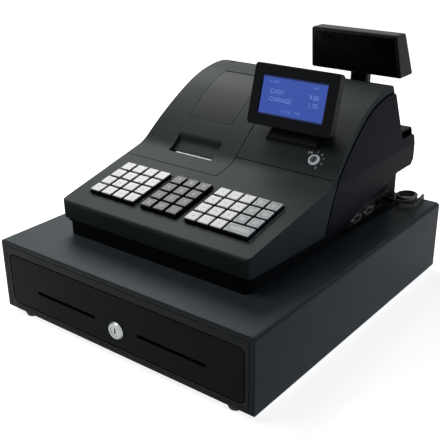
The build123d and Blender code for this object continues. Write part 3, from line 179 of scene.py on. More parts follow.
def zincPlate(name, colour, pale, roughness, direction=(1, 1, 1)):
    # Cold rolled sheet with bright zinc: faint rolling lines and cloudy patches.
    # The lines are drawn coarser than the real 0.3 mm.
    made, tree, shader, where = startMaterial(name)
    along = addNode(tree, "ShaderNodeMapping", {"Vector": where, "Scale": direction}).outputs["Vector"]
    lines = addNode(tree, "ShaderNodeTexNoise", {"Vector": along, "Scale": perMetre(2.0),
                                                 "Detail": 4.0}).outputs["Fac"]
    cloud = addNode(tree, "ShaderNodeTexVoronoi", {"Vector": where, "Scale": perMetre(14)})
    patch = addNode(tree, "ShaderNodeMapRange", {"Value": cloud.outputs["Distance"], "From Min": 0.1,
                                                 "From Max": 0.9}).outputs["Result"]
    tint = addNode(tree, "ShaderNodeMix", {"Factor": patch, 6: linear(colour), 7: linear(pale)},
                   data_type="RGBA").outputs[2]
    bump = addNode(tree, "ShaderNodeBump", {"Height": lines, "Strength": 0.12, "Distance": 0.02 * mm})
    gloss = addNode(tree, "ShaderNodeMapRange", {"Value": lines, **noiseRange, "To Min": roughness - 0.06,
                                                 "To Max": roughness + 0.08})
    joinSurface(tree, shader, tint, gloss.outputs["Result"], bump.outputs["Normal"])
    shader.inputs["Metallic"].default_value = 1.0
    return made


def satinNickel(name, colour, pale, roughness=0.3):
    # Satin nickel on brass: soft reflections with fine handling scratches, drawn coarser than the real 0.1 mm
    made, tree, shader, where = startMaterial(name)
    scratch = addNode(tree, "ShaderNodeTexNoise", {"Vector": where, "Scale": perMetre(0.9), "Detail": 5.0,
                                                   "Distortion": 1.2}).outputs["Fac"]
    patch = addNode(tree, "ShaderNodeMapRange", {"Value": scratch, **noiseRange}).outputs["Result"]
    tint = addNode(tree, "ShaderNodeMix", {"Factor": patch, 6: linear(colour), 7: linear(pale)},
                   data_type="RGBA").outputs[2]
    gloss = addNode(tree, "ShaderNodeMapRange", {"Value": scratch, **noiseRange, "To Min": roughness - 0.05,
                                                 "To Max": roughness + 0.1})
    joinSurface(tree, shader, tint, gloss.outputs["Result"])
    shader.inputs["Metallic"].default_value = 1.0
    return made


def softRubber(name, colour, pale, roughness=0.75, sheen=0.3):
    # Moulded rubber or soft PVC: dull, with a little dust in the grain
    made, tree, shader, where = startMaterial(name)
    dust = addNode(tree, "ShaderNodeTexNoise", {"Vector": where, "Scale": perMetre(1.4),
                                                "Detail": 4.0}).outputs["Fac"]
    patch = addNode(tree, "ShaderNodeMapRange", {"Value": dust, **noiseRange}).outputs["Result"]
    tint = addNode(tree, "ShaderNodeMix", {"Factor": patch, 6: linear(colour), 7: linear(pale)},
                   data_type="RGBA").outputs[2]
    bump = addNode(tree, "ShaderNodeBump", {"Height": dust, "Strength": 0.3, "Distance": 0.08 * mm})
    gloss = addNode(tree, "ShaderNodeMapRange", {"Value": dust, **noiseRange, "To Min": roughness - 0.1,
                                                 "To Max": roughness + 0.08})
    joinSurface(tree, shader, tint, gloss.outputs["Result"], bump.outputs["Normal"])
    shader.inputs["IOR"].default_value = 1.52
    shader.inputs["Specular IOR Level"].default_value = sheen
    return made


def printedCard(name, colour, pale, coat=0.0):
    # Card or thermal paper: short fibres with a slight mottle, drawn coarser than the real 0.5 mm.
    # The coat is the clear cap over a key's card.
    made, tree, shader, where = startMaterial(name)
    fibre = addNode(tree, "ShaderNodeTexNoise", {"Vector": where, "Scale": perMetre(2.5),
                                                 "Detail": 4.0}).outputs["Fac"]
    patch = addNode(tree, "ShaderNodeMapRange", {"Value": fibre, **noiseRange}).outputs["Result"]
    tint = addNode(tree, "ShaderNodeMix", {"Factor": patch, 6: linear(colour), 7: linear(pale)},
                   data_type="RGBA").outputs[2]
    gloss = addNode(tree, "ShaderNodeMapRange", {"Value": fibre, **noiseRange, "To Min": 0.45,
                                                 "To Max": 0.55})
    joinSurface(tree, shader, tint, gloss.outputs["Result"])
    shader.inputs["Specular IOR Level"].default_value = 0.1
    shader.inputs["Coat Weight"].default_value = coat
    shader.inputs["Coat Roughness"].default_value = 0.12
    return made


def displayGlass(name, colour, pale, glow):
    # Backlit dot-matrix panel: a fine grid of 1 mm dots over a cloudy glow
    made, tree, shader, where = startMaterial(name)
    cell = addNode(tree, "ShaderNodeTexVoronoi", {"Vector": where, "Scale": perMetre(1.0), "Randomness": 0.0},
                   distance="CHEBYCHEV").outputs["Distance"]
    cloud = addNode(tree, "ShaderNodeTexNoise", {"Vector": where, "Scale": perMetre(60),
                                                 "Detail": 1.0}).outputs["Fac"]
    gap = addNode(tree, "ShaderNodeMapRange", {"Value": cell, "From Min": 0.38, "From Max": 0.46,
                                               "To Min": 1.0, "To Max": 0.0}).outputs["Result"]
    grid = addNode(tree, "ShaderNodeMix", {"Factor": gap, 6: linear(colour), 7: linear(pale)},
                   data_type="RGBA").outputs[2]
    share = addNode(tree, "ShaderNodeMapRange", {"Value": cloud, **noiseRange,
                                                 "To Max": 0.6}).outputs["Result"]
    tint = addNode(tree, "ShaderNodeMix", {"Factor": share, 6: grid, 7: linear(pale)},
                   data_type="RGBA").outputs[2]
    gloss = addNode(tree, "ShaderNodeMapRange", {"Value": cloud, "To Min": 0.1, "To Max": 0.3})
    joinSurface(tree, shader, tint, gloss.outputs["Result"])
    tree.links.new(tint, shader.inputs["Emission Color"])
    shader.inputs["Emission Strength"].default_value = glow
    shader.inputs["IOR"].default_value = 1.52
    shader.inputs["Specular IOR Level"].default_value = 0.3
    return made


def solderMask(name, colour, pale):
    # Green resist over copper tracks
    made, tree, shader, where = startMaterial(name)
    tracks = addNode(tree, "ShaderNodeTexBrick", {"Vector": where, "Scale": perMetre(9),
                                                  "Color1": linear(colour), "Color2": linear(colour),
                                                  "Mortar": linear(pale), "Mortar Size": 0.06})
    grain = addNode(tree, "ShaderNodeTexNoise", {"Vector": where, "Scale": perMetre(3)}).outputs["Fac"]
    gloss = addNode(tree, "ShaderNodeMapRange", {"Value": grain, "To Min": 0.25, "To Max": 0.45})
    joinSurface(tree, shader, tracks.outputs["Color"], gloss.outputs["Result"])
    return made


def socketPlate(name, darkAndShaded, dusty, tin, face):
    # Black plastic jacks, a plate made dark as painted shade of its recess, and tinned port shells that stand
    # out past the face
    made, tree, shader, where = startMaterial(name)
    change = 0.2  # mm over which the dark plate and jacks turn to tin
    across = addNode(tree, "ShaderNodeSeparateXYZ", {"Vector": where}).outputs["X"]
    out = addNode(tree, "ShaderNodeMapRange", {"Value": across, "From Min": face * mm,
                                               "From Max": (face + change) * mm}).outputs["Result"]
    grain = addNode(tree, "ShaderNodeTexNoise", {"Vector": where, "Scale": perMetre(1.5),
                                                 "Detail": 3.0}).outputs["Fac"]
    plain = addNode(tree, "ShaderNodeMix", {"Factor": grain, 6: linear(darkAndShaded), 7: linear(dusty)},
                    data_type="RGBA").outputs[2]
    tint = addNode(tree, "ShaderNodeMix", {"Factor": out, 6: plain, 7: linear(tin)},
                   data_type="RGBA").outputs[2]
    gloss = addNode(tree, "ShaderNodeMapRange", {"Value": grain, "To Min": 0.3, "To Max": 0.5})
    joinSurface(tree, shader, tint, gloss.outputs["Result"])
    tree.links.new(out, shader.inputs["Metallic"])
    shader.inputs["Specular IOR Level"].default_value = 0.2
    return made


caseAbs = mouldedAbs("caseAbs", "#3c4342", "#414847", "#5a6160", sheen=0.04)
# the side panels' and rear cover's plastic is the case plastic made far darker: painted shade on the sides
# that the lamps leave dark
shadedPanelAbs = mouldedAbs("shadedPanelAbs", "#10131b", "#13161f", "#2c3037", roughness=0.4, sheen=0.02)
# the lower case's plastic is made near black: painted shade under the overhanging lip
shadedPlinthAbs = mouldedAbs("shadedPlinthAbs", "#0f1012", "#131417", "#1d1f22", sheen=0.02)
housingAbs = mouldedAbs("housingAbs", "#15171b", "#191b1f", "#303338", roughness=0.38, sheen=0.06)
rearHousingAbs = mouldedAbs("rearHousingAbs", "#2a2d30", "#2e3134", "#4c5053", roughness=0.4, sheen=0.05)
blackAbs = mouldedAbs("blackAbs", "#0c0d0e", "#101113", "#1c1d1f", roughness=0.35, sheen=0.06)
lidAbs = mouldedAbs("lidAbs", "#303635", "#353b3a", "#5a6160", roughness=0.42, sheen=0.05)
tillAbs = mouldedAbs("tillAbs", "#232426", "#2a2b2d", "#3c3d40", roughness=0.42, grain=1.8)
glossBlack = mouldedAbs("glossBlack", "#06070a", "#08090d", "#1a1c20", roughness=0.12, grain=4.0, sheen=0.2)
coverPaint = powderCoat("coverPaint", "#444c50", "#4a5256", "#687074", sheen=0.05)
# the front frame's and the drawer front's paints are the cover's paint made darker: painted shade on the
# front faces
shadedFrontPaint = powderCoat("shadedFrontPaint", "#34393b", "#393e41", "#52585a", sheen=0.08)
shadedFacePaint = powderCoat("shadedFacePaint", "#181b1d", "#1c1f21", "#2e3234", sheen=0.04)
zincSheet = zincPlate("zincSheet", "#7c8083", "#868a8d", roughness=0.42, direction=(1, 0.12, 1))
tearSteel = zincPlate("tearSteel", "#606467", "#707477", roughness=0.5)
springSteel = zincPlate("springSteel", "#96999c", "#aaadb0", roughness=0.28, direction=(0.1, 1, 1))
lockNickel = satinNickel("lockNickel", "#a4a7a8", "#babdbe")
modeNickel = satinNickel("modeNickel", "#7b7f81", "#909495")
modeDark = satinNickel("modeDark", "#34383a", "#44484a", roughness=0.4)
zincScrew = satinNickel("zincScrew", "#8e9192", "#a4a7a8", roughness=0.25)
footRubber = softRubber("footRubber", "#17181a", "#1f2022")
cablePvc = softRubber("cablePvc", "#0b0c0e", "#131416", roughness=0.42, sheen=0.15)
rollerRubber = softRubber("rollerRubber", "#222325", "#2c2d2f", roughness=0.6)
thermalPaper = printedCard("thermalPaper", "#e9e8e2", "#f2f1ec")
whiteCard = printedCard("whiteCard", "#f4f7f6", "#fcfdfd", coat=0.15)
greyCard = printedCard("greyCard", "#b2babc", "#bec6c8", coat=0.15)
slateCard = printedCard("slateCard", "#454a4d", "#4e5356", coat=0.15)
numeralInk = printedCard("numeralInk", "#c9cdd0", "#d6d9db")
greyInk = printedCard("greyInk", "#b3b9b8", "#bdc3c2")
outlineInk = printedCard("outlineInk", "#6b7275", "#767d80")
markInk = printedCard("markInk", "#e2e6e6", "#eef1f1")
greenBoard = solderMask("greenBoard", "#14472b", "#2c6b45")
blueScreen = displayGlass("blueScreen", "#263f9c", "#3452a8", glow=0.78)
screenEdge = displayGlass("screenEdge", "#0f1a4a", "#13215a", glow=0.3)
paleDots = displayGlass("paleDots", "#6580c6", "#7590d0", glow=0.75)
smokeWindow = displayGlass("smokeWindow", "#0d1215", "#11181c", glow=0.02)
tealDigits = displayGlass("tealDigits", "#6fe3c4", "#a4f2dd", glow=0.9)
tinnedSockets = socketPlate("tinnedSockets", "#101113", "#1b1c1e", "#9a9d9f", face=148.3)

finishes = {
    caseAbs: ["upper_case", "printer_cover", "display_panel"],
    lidAbs: ["paper_lid"],
    shadedPanelAbs: ["side_panels", "rear_cover"],
    shadedPlinthAbs: ["lower_case"],
    housingAbs: ["display_front", "display_back"],
    rearHousingAbs: ["rear_display_housing"],
    blackAbs: ["keyboard_frame", "power_inlet", "cable_fittings", "display_neck", "rear_post"],
    tillAbs: ["till_insert", "bill_clips"],
    coverPaint: ["drawer_cover"],
    shadedFrontPaint: ["front_frame"],
    shadedFacePaint: ["drawer_front"],
    zincSheet: ["base_pan", "cabinet_rails", "drawer_runners", "drawer_tray", "striker", "latch_solenoid",
                "latch_lever", "solenoid_plunger", "printer_frame", "power_supply"],
    springSteel: ["eject_spring"],
    tearSteel: ["tear_bar"],
    lockNickel: ["lock_ring", "lock_barrel"],
    modeNickel: ["mode_lock_ring"],
    modeDark: ["mode_lock_barrel"],
    zincScrew: ["case_screws"],
    footRubber: ["rubber_feet"],
    rollerRubber: ["platen_roller"],
    thermalPaper: ["paper_roll"],
    greenBoard: ["main_board"],
    smokeWindow: ["rear_display_window"],
    blueScreen: ["display_screen"],
    tinnedSockets: ["socket_panel"],
}


def paint(thing, *materials):  # the slots keep their order, because the faces are numbered by them
    slots = thing.data.materials
    for i, material in enumerate(materials):
        if i < len(slots):
            slots[i] = material
        else:
            slots.append(material)


for finish, names in finishes.items():
    for name in names:
        paint(nodes[name], finish)
print("materials done:", len(bpy.data.materials))


def finishPiece(name, mesh, materials, body, replaced=()):
    thing = bpy.data.objects.new(name, mesh)
    bpy.context.collection.objects.link(thing)
    paint(thing, *materials)
    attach(thing, body)
    if replaced:
        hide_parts(*replaced)


def toMesh(shape, name):
    mesh = bpy.data.meshes.new(name)
    shape.to_mesh(mesh)
    shape.free()
    return mesh


def addBox(shape, place, size, centre, material=0, bevel=0.0, taper=0.0):
    # a box whose top is drawn in by the taper on every side, with rounded edges
    before = set(shape.faces)
    made = bmesh.ops.create_cube(shape, size=1.0, matrix=Matrix.Diagonal((*size, 1)))["verts"]
    for vert in made:
        if vert.co.z > 0:
            vert.co.x *= (size[0] - 2 * taper) / size[0]
            vert.co.y *= (size[1] - 2 * taper) / size[1]
        vert.co += Vector(centre)
    if bevel:
        edges = {edge for vert in made for edge in vert.link_edges}
        bmesh.ops.bevel(shape, geom=list(edges), offset=bevel, offset_type="OFFSET", segments=3,
                        profile=0.5, affect="EDGES", clamp_overlap=True, material=-1)
    faces = [face for face in shape.faces if face not in before]
    verts = {vert for face in faces for vert in face.verts}
    for face in faces:
        face.material_index = material
    bmesh.ops.transform(shape, matrix=place, verts=list(verts))


def addOutline(shape, place, size, centre, line, material):
    # a printed line round a rectangle: a flat frame with its middle left out
    before = set(shape.faces)
    bmesh.ops.create_grid(shape, x_segments=1, y_segments=1, size=0.5, matrix=Matrix.Diagonal((*size, 1, 1)))
    sheet = [face for face in shape.faces if face not in before]
    bmesh.ops.inset_region(shape, faces=sheet, thickness=line, use_even_offset=True, use_boundary=True)
    bmesh.ops.delete(shape, geom=sheet, context="FACES_ONLY")
    ring = [face for face in shape.faces if face not in before]
    for face in ring:
        face.material_index = material
    verts = list({vert for face in ring for vert in face.verts})
    bmesh.ops.translate(shape, vec=Vector(centre), verts=verts)
    bmesh.ops.transform(shape, matrix=place, verts=verts)


def addText(shape, words, size, place, material, bold=0.0):
    # flat figures centred on the place, fattened by a share of their size
    curve = bpy.data.curves.new("figures", "FONT")
    curve.body = words
    curve.size = size
    curve.offset = bold * size
    curve.align_x = "CENTER"
    curve.align_y = "CENTER"
    holder = bpy.data.objects.new("figures", curve)
    mesh = bpy.data.meshes.new_from_object(holder)
    mesh.transform(place)
    before = set(shape.faces)
    shape.from_mesh(mesh)
    for face in shape.faces:
        if face not in before:
            face.material_index = material
    bpy.data.objects.remove(holder)
    bpy.data.meshes.remove(mesh)
    bpy.data.curves.remove(curve)


def slopePlane(origin, lean, spin=0.0):  # x across, y up the slope, z out of it; a spin of 180 faces the back
    turn = Matrix.Rotation(math.radians(spin), 4, "Z") @ Matrix.Rotation(math.radians(lean), 4, "X")
    return Matrix.Translation(Vector(origin) * mm) @ turn


keyboard = {
    "nose": (0.0, -165.8, 154.7),  # start of the deck
    "slope": 11.9,
    "rowStart": 40.0,
    "rowPitch": 19.63,
    "rows": 4,
    # first column and pitch of each block
    "left": (-117.8, 20.13),
    "middle": (-28.9, 20.55),
    "right": (42.9, 19.45),
    "leftColumns": 4,
    "rightColumns": 5,
    "rightWhite": 3,  # columns of white keys in the right block, left of its grey ones
    "wideColumn": 3.5,  # the double key lies under the last two columns
    "foot": 17.2,  # key's width at the deck
    "rise": 6.0,
    "skirt": 4.0,  # the skirt's reach below the deck
    "skirtTop": 4.6,
    "skirtDraw": 0.2,
    "skirtRound": 0.4,
    "cap": 16.7,
    "capTop": 16.1,
    "capRound": 0.5,
    "rim": (0.8, 1.3),  # width of the painted highlight strip beside a block, and its distance from the keys
    "rimHighlightHeight": (-0.6, 0.35),  # from the sunk pad up to just over the deck
    "rimRound": 0.2,
    "outline": (10.4, 10.4),  # line printed on the function keys
    "outlineWidth": 0.9,
    "printLift": 0.03,
    "bold": 0.02,
    "priceSize": 3.2,
    "digitSize": 8.0,
}
deck = slopePlane(keyboard["nose"], keyboard["slope"])


def addKey(shape, x, along, width, card, text="", textSize=None):
    # black skirt and a capped card over it; the materials are numbered in that order, ink last
    side, rise, low, high = keyboard["foot"], keyboard["rise"], keyboard["skirt"], keyboard["skirtTop"]
    edge = side - keyboard["cap"]
    draw = (keyboard["cap"] - keyboard["capTop"]) / 2
    thick = rise - high
    here = deck @ Matrix.Translation(Vector((x, along, 0)) * mm)
    addBox(shape, here, (width * mm, side * mm, (low + high) * mm), (0, 0, (high - low) / 2 * mm), 0,
           keyboard["skirtRound"] * mm, keyboard["skirtDraw"] * mm)
    addBox(shape, here, ((width - edge) * mm, (side - edge) * mm, thick * mm),
           (0, 0, (high + thick / 2) * mm), 1, keyboard["capRound"] * mm, draw * mm)
    flat = (0, 0, (rise + keyboard["printLift"]) * mm)
    if text:
        addText(shape, text, textSize * mm, here @ Matrix.Translation(flat), 2, keyboard["bold"])
    if card is greyCard:
        wide, deep = keyboard["outline"]
        size = ((wide + width - side) * mm, deep * mm)
        addOutline(shape, here, size, flat, keyboard["outlineWidth"] * mm, 2)


def keyPlace(block, row, column):
    first, pitch = block
    return first + column * pitch, keyboard["rowStart"] + row * keyboard["rowPitch"]


def makeKeys():
    side = keyboard["foot"]
    left, middle, right = keyboard["left"], keyboard["middle"], keyboard["right"]
    white = bmesh.new()
    number = 1
    for block, columns in ((left, keyboard["leftColumns"]), (right, keyboard["rightWhite"])):
        for row in reversed(range(keyboard["rows"])):
            for column in range(columns):
                place = keyPlace(block, row, column)
                addKey(white, *place, side, whiteCard, str(number), keyboard["priceSize"])
                number += 1
    finishPiece("priceKeys", toMesh(white, "priceKeys"), (blackAbs, whiteCard, greyInk),
                "white_key_group", ["white_keys"])
    grey = bmesh.new()
    for row in range(1, keyboard["rows"]):
        for column in range(keyboard["rightWhite"], keyboard["rightColumns"]):
            addKey(grey, *keyPlace(right, row, column), side, greyCard)
    addKey(grey, *keyPlace(right, 0, keyboard["wideColumn"]), side + right[1], greyCard)
    finishPiece("actionKeys", toMesh(grey, "actionKeys"), (blackAbs, greyCard, outlineInk),
                "function_key_group", ["function_keys"])
    rows = (("0", "00", "point"), ("1", "2", "3"), ("4", "5", "6"), ("7", "8", "9"))
    for row, digits in enumerate(rows):
        for column, digit in enumerate(digits):
            shape = bmesh.new()
            shown = "." if digit == "point" else digit
            place = keyPlace(middle, row, column)
            addKey(shape, *place, side, slateCard, shown, keyboard["digitSize"])
            finishPiece("numberKey_" + digit, toMesh(shape, "numberKey"), (blackAbs, slateCard, numeralInk),
                        "key_" + digit + "_cap", ["key_" + digit])
    print("keys done")


def makeKeyRims():
    # pale strips at the right of the left and right blocks: a painted highlight along the edge of the key
    # frame
    width, away = keyboard["rim"]
    low, high = keyboard["rimHighlightHeight"]
    span = (keyboard["rows"] - 1) * keyboard["rowPitch"]
    size = (width * mm, (span + keyboard["foot"]) * mm, (high - low) * mm)
    shape = bmesh.new()
    for block in ("left", "right"):
        first, pitch = keyboard[block]
        x = first + (keyboard[block + "Columns"] - 1) * pitch + keyboard["foot"] / 2 + away
        centre = Vector((x, keyboard["rowStart"] + span / 2, (low + high) / 2)) * mm
        addBox(shape, deck, size, centre, 0, keyboard["rimRound"] * mm)
    finishPiece("keyRimHighlights", toMesh(shape, "keyRimHighlights"), (greyCard,), "cabinet")


makeKeys()
makeKeyRims()


modeMarks = {
    "centre": (115.7, 24.7, 210.7),  # middle of the mode lock on the hood
    "lean": 40.5,
    "height": 0.22,
    "size": 4.4,
    "bold": 0.05,
    # degrees round from the top, distance from the middle, figure
    "places": ((-46, 13.4, "OFF"), (2, 12.0, "1"), (38, 12.2, "2"), (72, 12.4, "3"), (106, 12.4, "4"),
               (143, 12.6, "5")),
}


def makeModeMarks(settings):
    shape = bmesh.new()
    hood = slopePlane(settings["centre"], settings["lean"])
    for bearing, reach, figure in settings["places"]:
        angle = math.radians(bearing)
        spot = Vector((reach * math.sin(angle), reach * math.cos(angle), settings["height"])) * mm
        place = hood @ Matrix.Translation(spot)
        addText(shape, figure, settings["size"] * mm, place, 0, settings["bold"])
    finishPiece("modeMarks", toMesh(shape, "modeMarks"), (markInk,), "cabinet")


makeModeMarks(modeMarks)


operatorDisplay = {
    "centre": (73.5, 35.0, 280.9),  # on the bezel's face
    "lean": 74.0,  # degrees from flat
    "window": (98.6, 49.6),
    "edge": 1.3,  # unlit border of the screen
    "glassDepth": -1.6,
    "edgeLift": 0.1,  # over the glass
    "figureLift": 0.12,
    # x, y, height of the figures, words
    "lines": ((-31.0, 18.0, 4.0, "01  0012"), (31.0, 18.0, 4.0, "12:45"), (-25.0, 5.5, 8.2, "CASH"),
              (31.0, 5.5, 8.2, "9.00"), (-18.0, -4.5, 8.2, "CHANGE"), (31.0, -4.5, 8.2, "1.70"),
              (0.0, -17.5, 4.6, "2 x 3.65    7.30")),
}


def makeOperatorFigures(settings):
    shape = bmesh.new()
    face = slopePlane(settings["centre"], settings["lean"])
    depth = settings["glassDepth"]
    for x, y, size, words in settings["lines"]:
        spot = Matrix.Translation(Vector((x, y, depth + settings["figureLift"])) * mm)
        addText(shape, words, size * mm, face @ spot, 0)
    wide, high = settings["window"]
    middle = (0, 0, (depth + settings["edgeLift"]) * mm)
    addOutline(shape, face, (wide * mm, high * mm), middle, settings["edge"] * mm, 1)
    finishPiece("operatorFigures", toMesh(shape, "operatorFigures"), (paleDots, screenEdge),
                "operator_display")


makeOperatorFigures(operatorDisplay)


rearDisplay = {
    # operator's side: depth and height of its lower and its upper edge
    "low": (420.0 - frontDepth, 179.0 + drawerTop),
    "high": (408.0 - frontDepth, 238.5 + drawerTop),
    "x": 76.4,
    "halfLow": 67.2,
    "halfHigh": 62.4,
    "margin": 3.4,  # above and below the glossy panel
    "corner": 3.0,
    "thick": 0.7,
    "rimRound": 0.3,
    "window": (76.4, 217.0, 315.25),  # middle of the customer's window
    "windowLean": 69.7,
    "digits": "7.30",
    "strokes": {"7": "abc", "3": "abcdg", "0": "abcdef"},
    "digitSize": (11.0, 22.0),
    "digitPitch": 17.0,
    "digitDepth": -0.2,
    "strokeWidth": 2.4,
    "strokeGap": 0.6,
}


def makeRearPanel(settings):
    # glossy dark panel let into the operator's side of the rear display
    (yLow, zLow), (yHigh, zHigh) = settings["low"], settings["high"]
    lean = math.degrees(math.atan2(zHigh - zLow, yHigh - yLow))
    face = slopePlane((settings["x"], (yLow + yHigh) / 2, (zLow + zHigh) / 2), lean)
    half = math.hypot(yHigh - yLow, zHigh - zLow) / 2 - settings["margin"]
    shape = bmesh.new()
    corners = ((-settings["halfLow"], -half), (settings["halfLow"], -half), (settings["halfHigh"], half),
               (-settings["halfHigh"], half))
    outline = shape.faces.new([shape.verts.new(Vector((x, y, 0)) * mm) for x, y in corners])
    bmesh.ops.bevel(shape, geom=list(outline.verts), offset=settings["corner"] * mm, offset_type="OFFSET",
                    segments=4, profile=0.5, affect="VERTICES", clamp_overlap=True, material=-1)
    grown = bmesh.ops.extrude_face_region(shape, geom=list(shape.faces))["geom"]
    top = [item for item in grown if isinstance(item, bmesh.types.BMVert)]
    bmesh.ops.translate(shape, vec=Vector((0, 0, settings["thick"] * mm)), verts=top)
    rim = [edge for edge in shape.edges if all(vert in top for vert in edge.verts)]
    bmesh.ops.bevel(shape, geom=rim, offset=settings["rimRound"] * mm, offset_type="OFFSET", segments=2,
                    profile=0.5, affect="EDGES", clamp_overlap=True, material=-1)
    bmesh.ops.recalc_face_normals(shape, faces=list(shape.faces))
    bmesh.ops.transform(shape, matrix=face, verts=list(shape.verts))
    finishPiece("rearPanel", toMesh(shape, "rearPanel"), (glossBlack,), "rear_display")


def addSegment(shape, place, length, width):
    # one stroke of a figure: a flat bar that comes to a point at both ends, drawn out from a hexagon
    radius = width / math.sqrt(3)
    turn = Matrix.Rotation(math.pi / 2, 4, "Z")
    made = bmesh.ops.create_circle(shape, cap_ends=True, segments=6, radius=radius, matrix=turn)["verts"]
    for vert in made:
        vert.co.x += math.copysign(length / 2 - radius, vert.co.x)
    shape.normal_update()
    down = [face for face in made[0].link_faces if face.normal.z < 0]
    bmesh.ops.reverse_faces(shape, faces=down)
    bmesh.ops.transform(shape, matrix=place, verts=made)


def makeCustomerFigures(settings):
    # seven-stroke figures behind the customer's window
    shape = bmesh.new()
    face = slopePlane(settings["window"], settings["windowLean"], 180.0)
    quarter = Matrix.Rotation(math.pi / 2, 4, "Z")
    wide, high = settings["digitSize"]
    depth, stroke, gap = settings["digitDepth"], settings["strokeWidth"], settings["strokeGap"]
    flat = {"a": high / 2, "g": 0.0, "d": -high / 2}
    upright = {"b": (wide / 2, high / 4), "c": (wide / 2, -high / 4), "e": (-wide / 2, -high / 4),
               "f": (-wide / 2, high / 4)}
    figures = [figure for figure in settings["digits"] if figure != "."]
    for i, figure in enumerate(figures):
        x = (i - (len(figures) - 1) / 2) * settings["digitPitch"]
        for part in settings["strokes"][figure]:
            if part in flat:
                spot = Matrix.Translation(Vector((x, flat[part], depth)) * mm)
                addSegment(shape, face @ spot, (wide - gap) * mm, stroke * mm)
            else:
                dx, dy = upright[part]
                spot = Matrix.Translation(Vector((x + dx, dy, depth)) * mm) @ quarter
                addSegment(shape, face @ spot, (high / 2 - gap) * mm, stroke * mm)
    point = Matrix.Translation(Vector((-settings["digitPitch"] / 2, -high / 2, depth)) * mm)
    addSegment(shape, face @ point, 2 * stroke * mm, stroke * mm)
    finishPiece("customerFigures", toMesh(shape, "customerFigures"), (tealDigits,), "rear_display")


makeRearPanel(rearDisplay)
makeCustomerFigures(rearDisplay)
print("displays done")


cable = {
    "diameter": 4.2,
    # places are mm across, behind the front of the drawer's cover, and over the drawer's top
    "lead": ((164.0, 394.0, 14.0), (177.5, 397.0, 14.1), (183.2, 406.5, 14.3), (181.6, 415.5, 14.4)),
    "coilCentre": (167.0, 427.0),
    "coilRadius": 13.6,
    "coilTop": 14.4,
    "pitch": 4.4,  # each turn lies this much lower
    "turns": 2.05,
    "startAngle": -18.0,
    "steps": 14,  # points in each turn
    "tail": ((180.9, 437.0, 5.5), (180.5, 446.0, 5.3), (178.6, 455.5, 5.0), (175.8, 464.5, 3.0),
             (172.8, 471.5, -5.5), (170.2, 475.0, -19.0), (167.6, 473.5, -34.0), (165.6, 468.5, -43.5),
             (164.0, 461.5, -46.0)),
    "length": 0.31,
    "pathDetail": 8,
    "roundDetail": 4,
}


def makeCable(settings):
    places = list(settings["lead"])
    cx, cy = settings["coilCentre"]
    radius = settings["coilRadius"]
    count = round(settings["turns"] * settings["steps"])
    for i in range(count + 1):
        turned = i / settings["steps"]
        angle = math.radians(settings["startAngle"]) + turned * 2 * math.pi
        places.append((cx + radius * math.cos(angle), cy + radius * math.sin(angle),
                       settings["coilTop"] - settings["pitch"] * turned))
    places += settings["tail"]
    points = [(x * mm, (y - frontDepth) * mm, (z + drawerTop) * mm) for x, y, z in places]
    curve = bpy.data.curves.new("drawerCable", "CURVE")
    curve.dimensions = "3D"
    curve.resolution_u = settings["pathDetail"]
    curve.bevel_depth = settings["diameter"] / 2 * mm
    curve.bevel_resolution = settings["roundDetail"]
    curve.use_fill_caps = True
    line = curve.splines.new("NURBS")
    line.points.add(len(points) - 1)
    for point, spot in zip(line.points, points):
        point.co = (*spot, 1)
    line.order_u = 3
    line.use_endpoint_u = True
    made = bpy.data.objects.new("drawerCable", curve)
    bpy.context.collection.objects.link(made)
    curve.materials.append(cablePvc)
    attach(made, "cabinet")
    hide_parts("drawer_cable", "cable_coil")
    print("cable done")


makeCable(cable)


studio = {
    "floorSize": 14.0,
    "floor": "#f4f4f3",
    "nearGlow": 0.86,  # share of the floor's white that no shadow darkens, close to the machine
    "farGlow": 1.0,
    "nearEdge": 0.35,
    "farEdge": 0.9,
    "floorBounce": "#242526",  # what the floor sends back onto the machine
    "sky": 0.03,
    "skyTint": (0.95, 0.97, 1.0, 1),
    "aim": (0, 0, 0.2),  # what the lamps point at
    # name, power, size, place, colour
    "lamps": (("keyLamp", 11.6, 0.7, (-0.75, 0.44, 1.1), "#fffefa"),
              ("fillLamp", 6.4, 1.2, (2.0, 0.35, 0.2), "#bcd4ff"),
              ("topLamp", 4.6, 0.9, (-0.55, -0.75, 1.5), "#fbfdff")),
}


def seenDirectly(tree):  # 1 for rays from the camera and for those that metal and glass send on
    rays = addNode(tree, "ShaderNodeLightPath").outputs
    seen = rays["Is Camera Ray"]
    for kind in ("Is Glossy Ray", "Is Transmission Ray"):
        seen = addNode(tree, "ShaderNodeMath", {0: seen, 1: rays[kind]}, operation="MAXIMUM").outputs[0]
    return seen


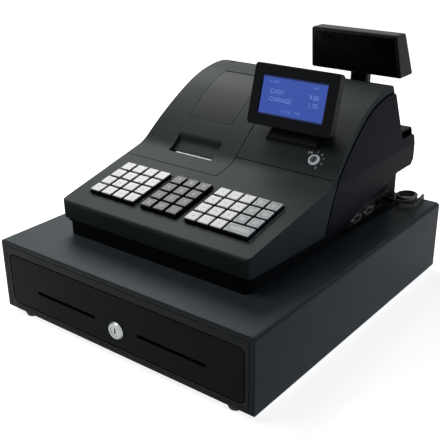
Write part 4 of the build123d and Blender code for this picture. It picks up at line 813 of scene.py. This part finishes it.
def makeFloor(settings):
    shape = bmesh.new()
    bmesh.ops.create_grid(shape, x_segments=1, y_segments=1, size=settings["floorSize"] / 2)
    floor = bpy.data.objects.new("floor", toMesh(shape, "floor"))
    bpy.context.collection.objects.link(floor)
    made, tree, shader, where = startMaterial("paleFloor")
    tree.nodes.remove(shader)
    away = addNode(tree, "ShaderNodeVectorMath", {0: where}, operation="LENGTH").outputs["Value"]
    glow = addNode(tree, "ShaderNodeMapRange", {"Value": away, "From Min": settings["nearEdge"],
                                                "From Max": settings["farEdge"],
                                                "To Min": settings["nearGlow"],
                                                "To Max": settings["farGlow"]}).outputs["Result"]
    bright = addNode(tree, "ShaderNodeBsdfDiffuse", {"Color": linear(settings["floor"])}).outputs[0]
    light = addNode(tree, "ShaderNodeEmission", {"Color": (1, 1, 1, 1), "Strength": glow}).outputs[0]
    pale = addNode(tree, "ShaderNodeAddShader", {0: bright, 1: light}).outputs[0]
    dull = addNode(tree, "ShaderNodeBsdfDiffuse", {"Color": linear(settings["floorBounce"])}).outputs[0]
    both = addNode(tree, "ShaderNodeMixShader", {0: seenDirectly(tree), 1: dull, 2: pale}).outputs[0]
    tree.links.new(both, tree.nodes["Material Output"].inputs["Surface"])
    paint(floor, made)


def makeWorld(settings):
    world = bpy.data.worlds.new("studio")
    bpy.context.scene.world = world
    world.use_nodes = True
    tree = world.node_tree
    tree.nodes.clear()
    white = addNode(tree, "ShaderNodeBackground", {"Color": (1, 1, 1, 1), "Strength": 1.0}).outputs[0]
    dim = addNode(tree, "ShaderNodeBackground", {"Color": settings["skyTint"],
                                                 "Strength": settings["sky"]}).outputs[0]
    both = addNode(tree, "ShaderNodeMixShader", {0: seenDirectly(tree), 1: dim, 2: white}).outputs[0]
    addNode(tree, "ShaderNodeOutputWorld", {"Surface": both})


def addLamp(name, power, size, place, colour, aim):
    data = bpy.data.lights.new(name, "AREA")
    data.energy = power
    data.color = linear(colour)[:3]
    data.shape = "DISK"
    data.size = size
    lamp = bpy.data.objects.new(name, data)
    lamp.location = place
    lamp.rotation_euler = (Vector(aim) - Vector(place)).to_track_quat("-Z", "Y").to_euler()
    lamp.visible_camera = False
    bpy.context.collection.objects.link(lamp)


makeFloor(studio)
makeWorld(studio)
for lampSettings in studio["lamps"]:
    addLamp(*lampSettings, studio["aim"])
bpy.context.scene.view_settings.view_transform = "Standard"
print("studio done")
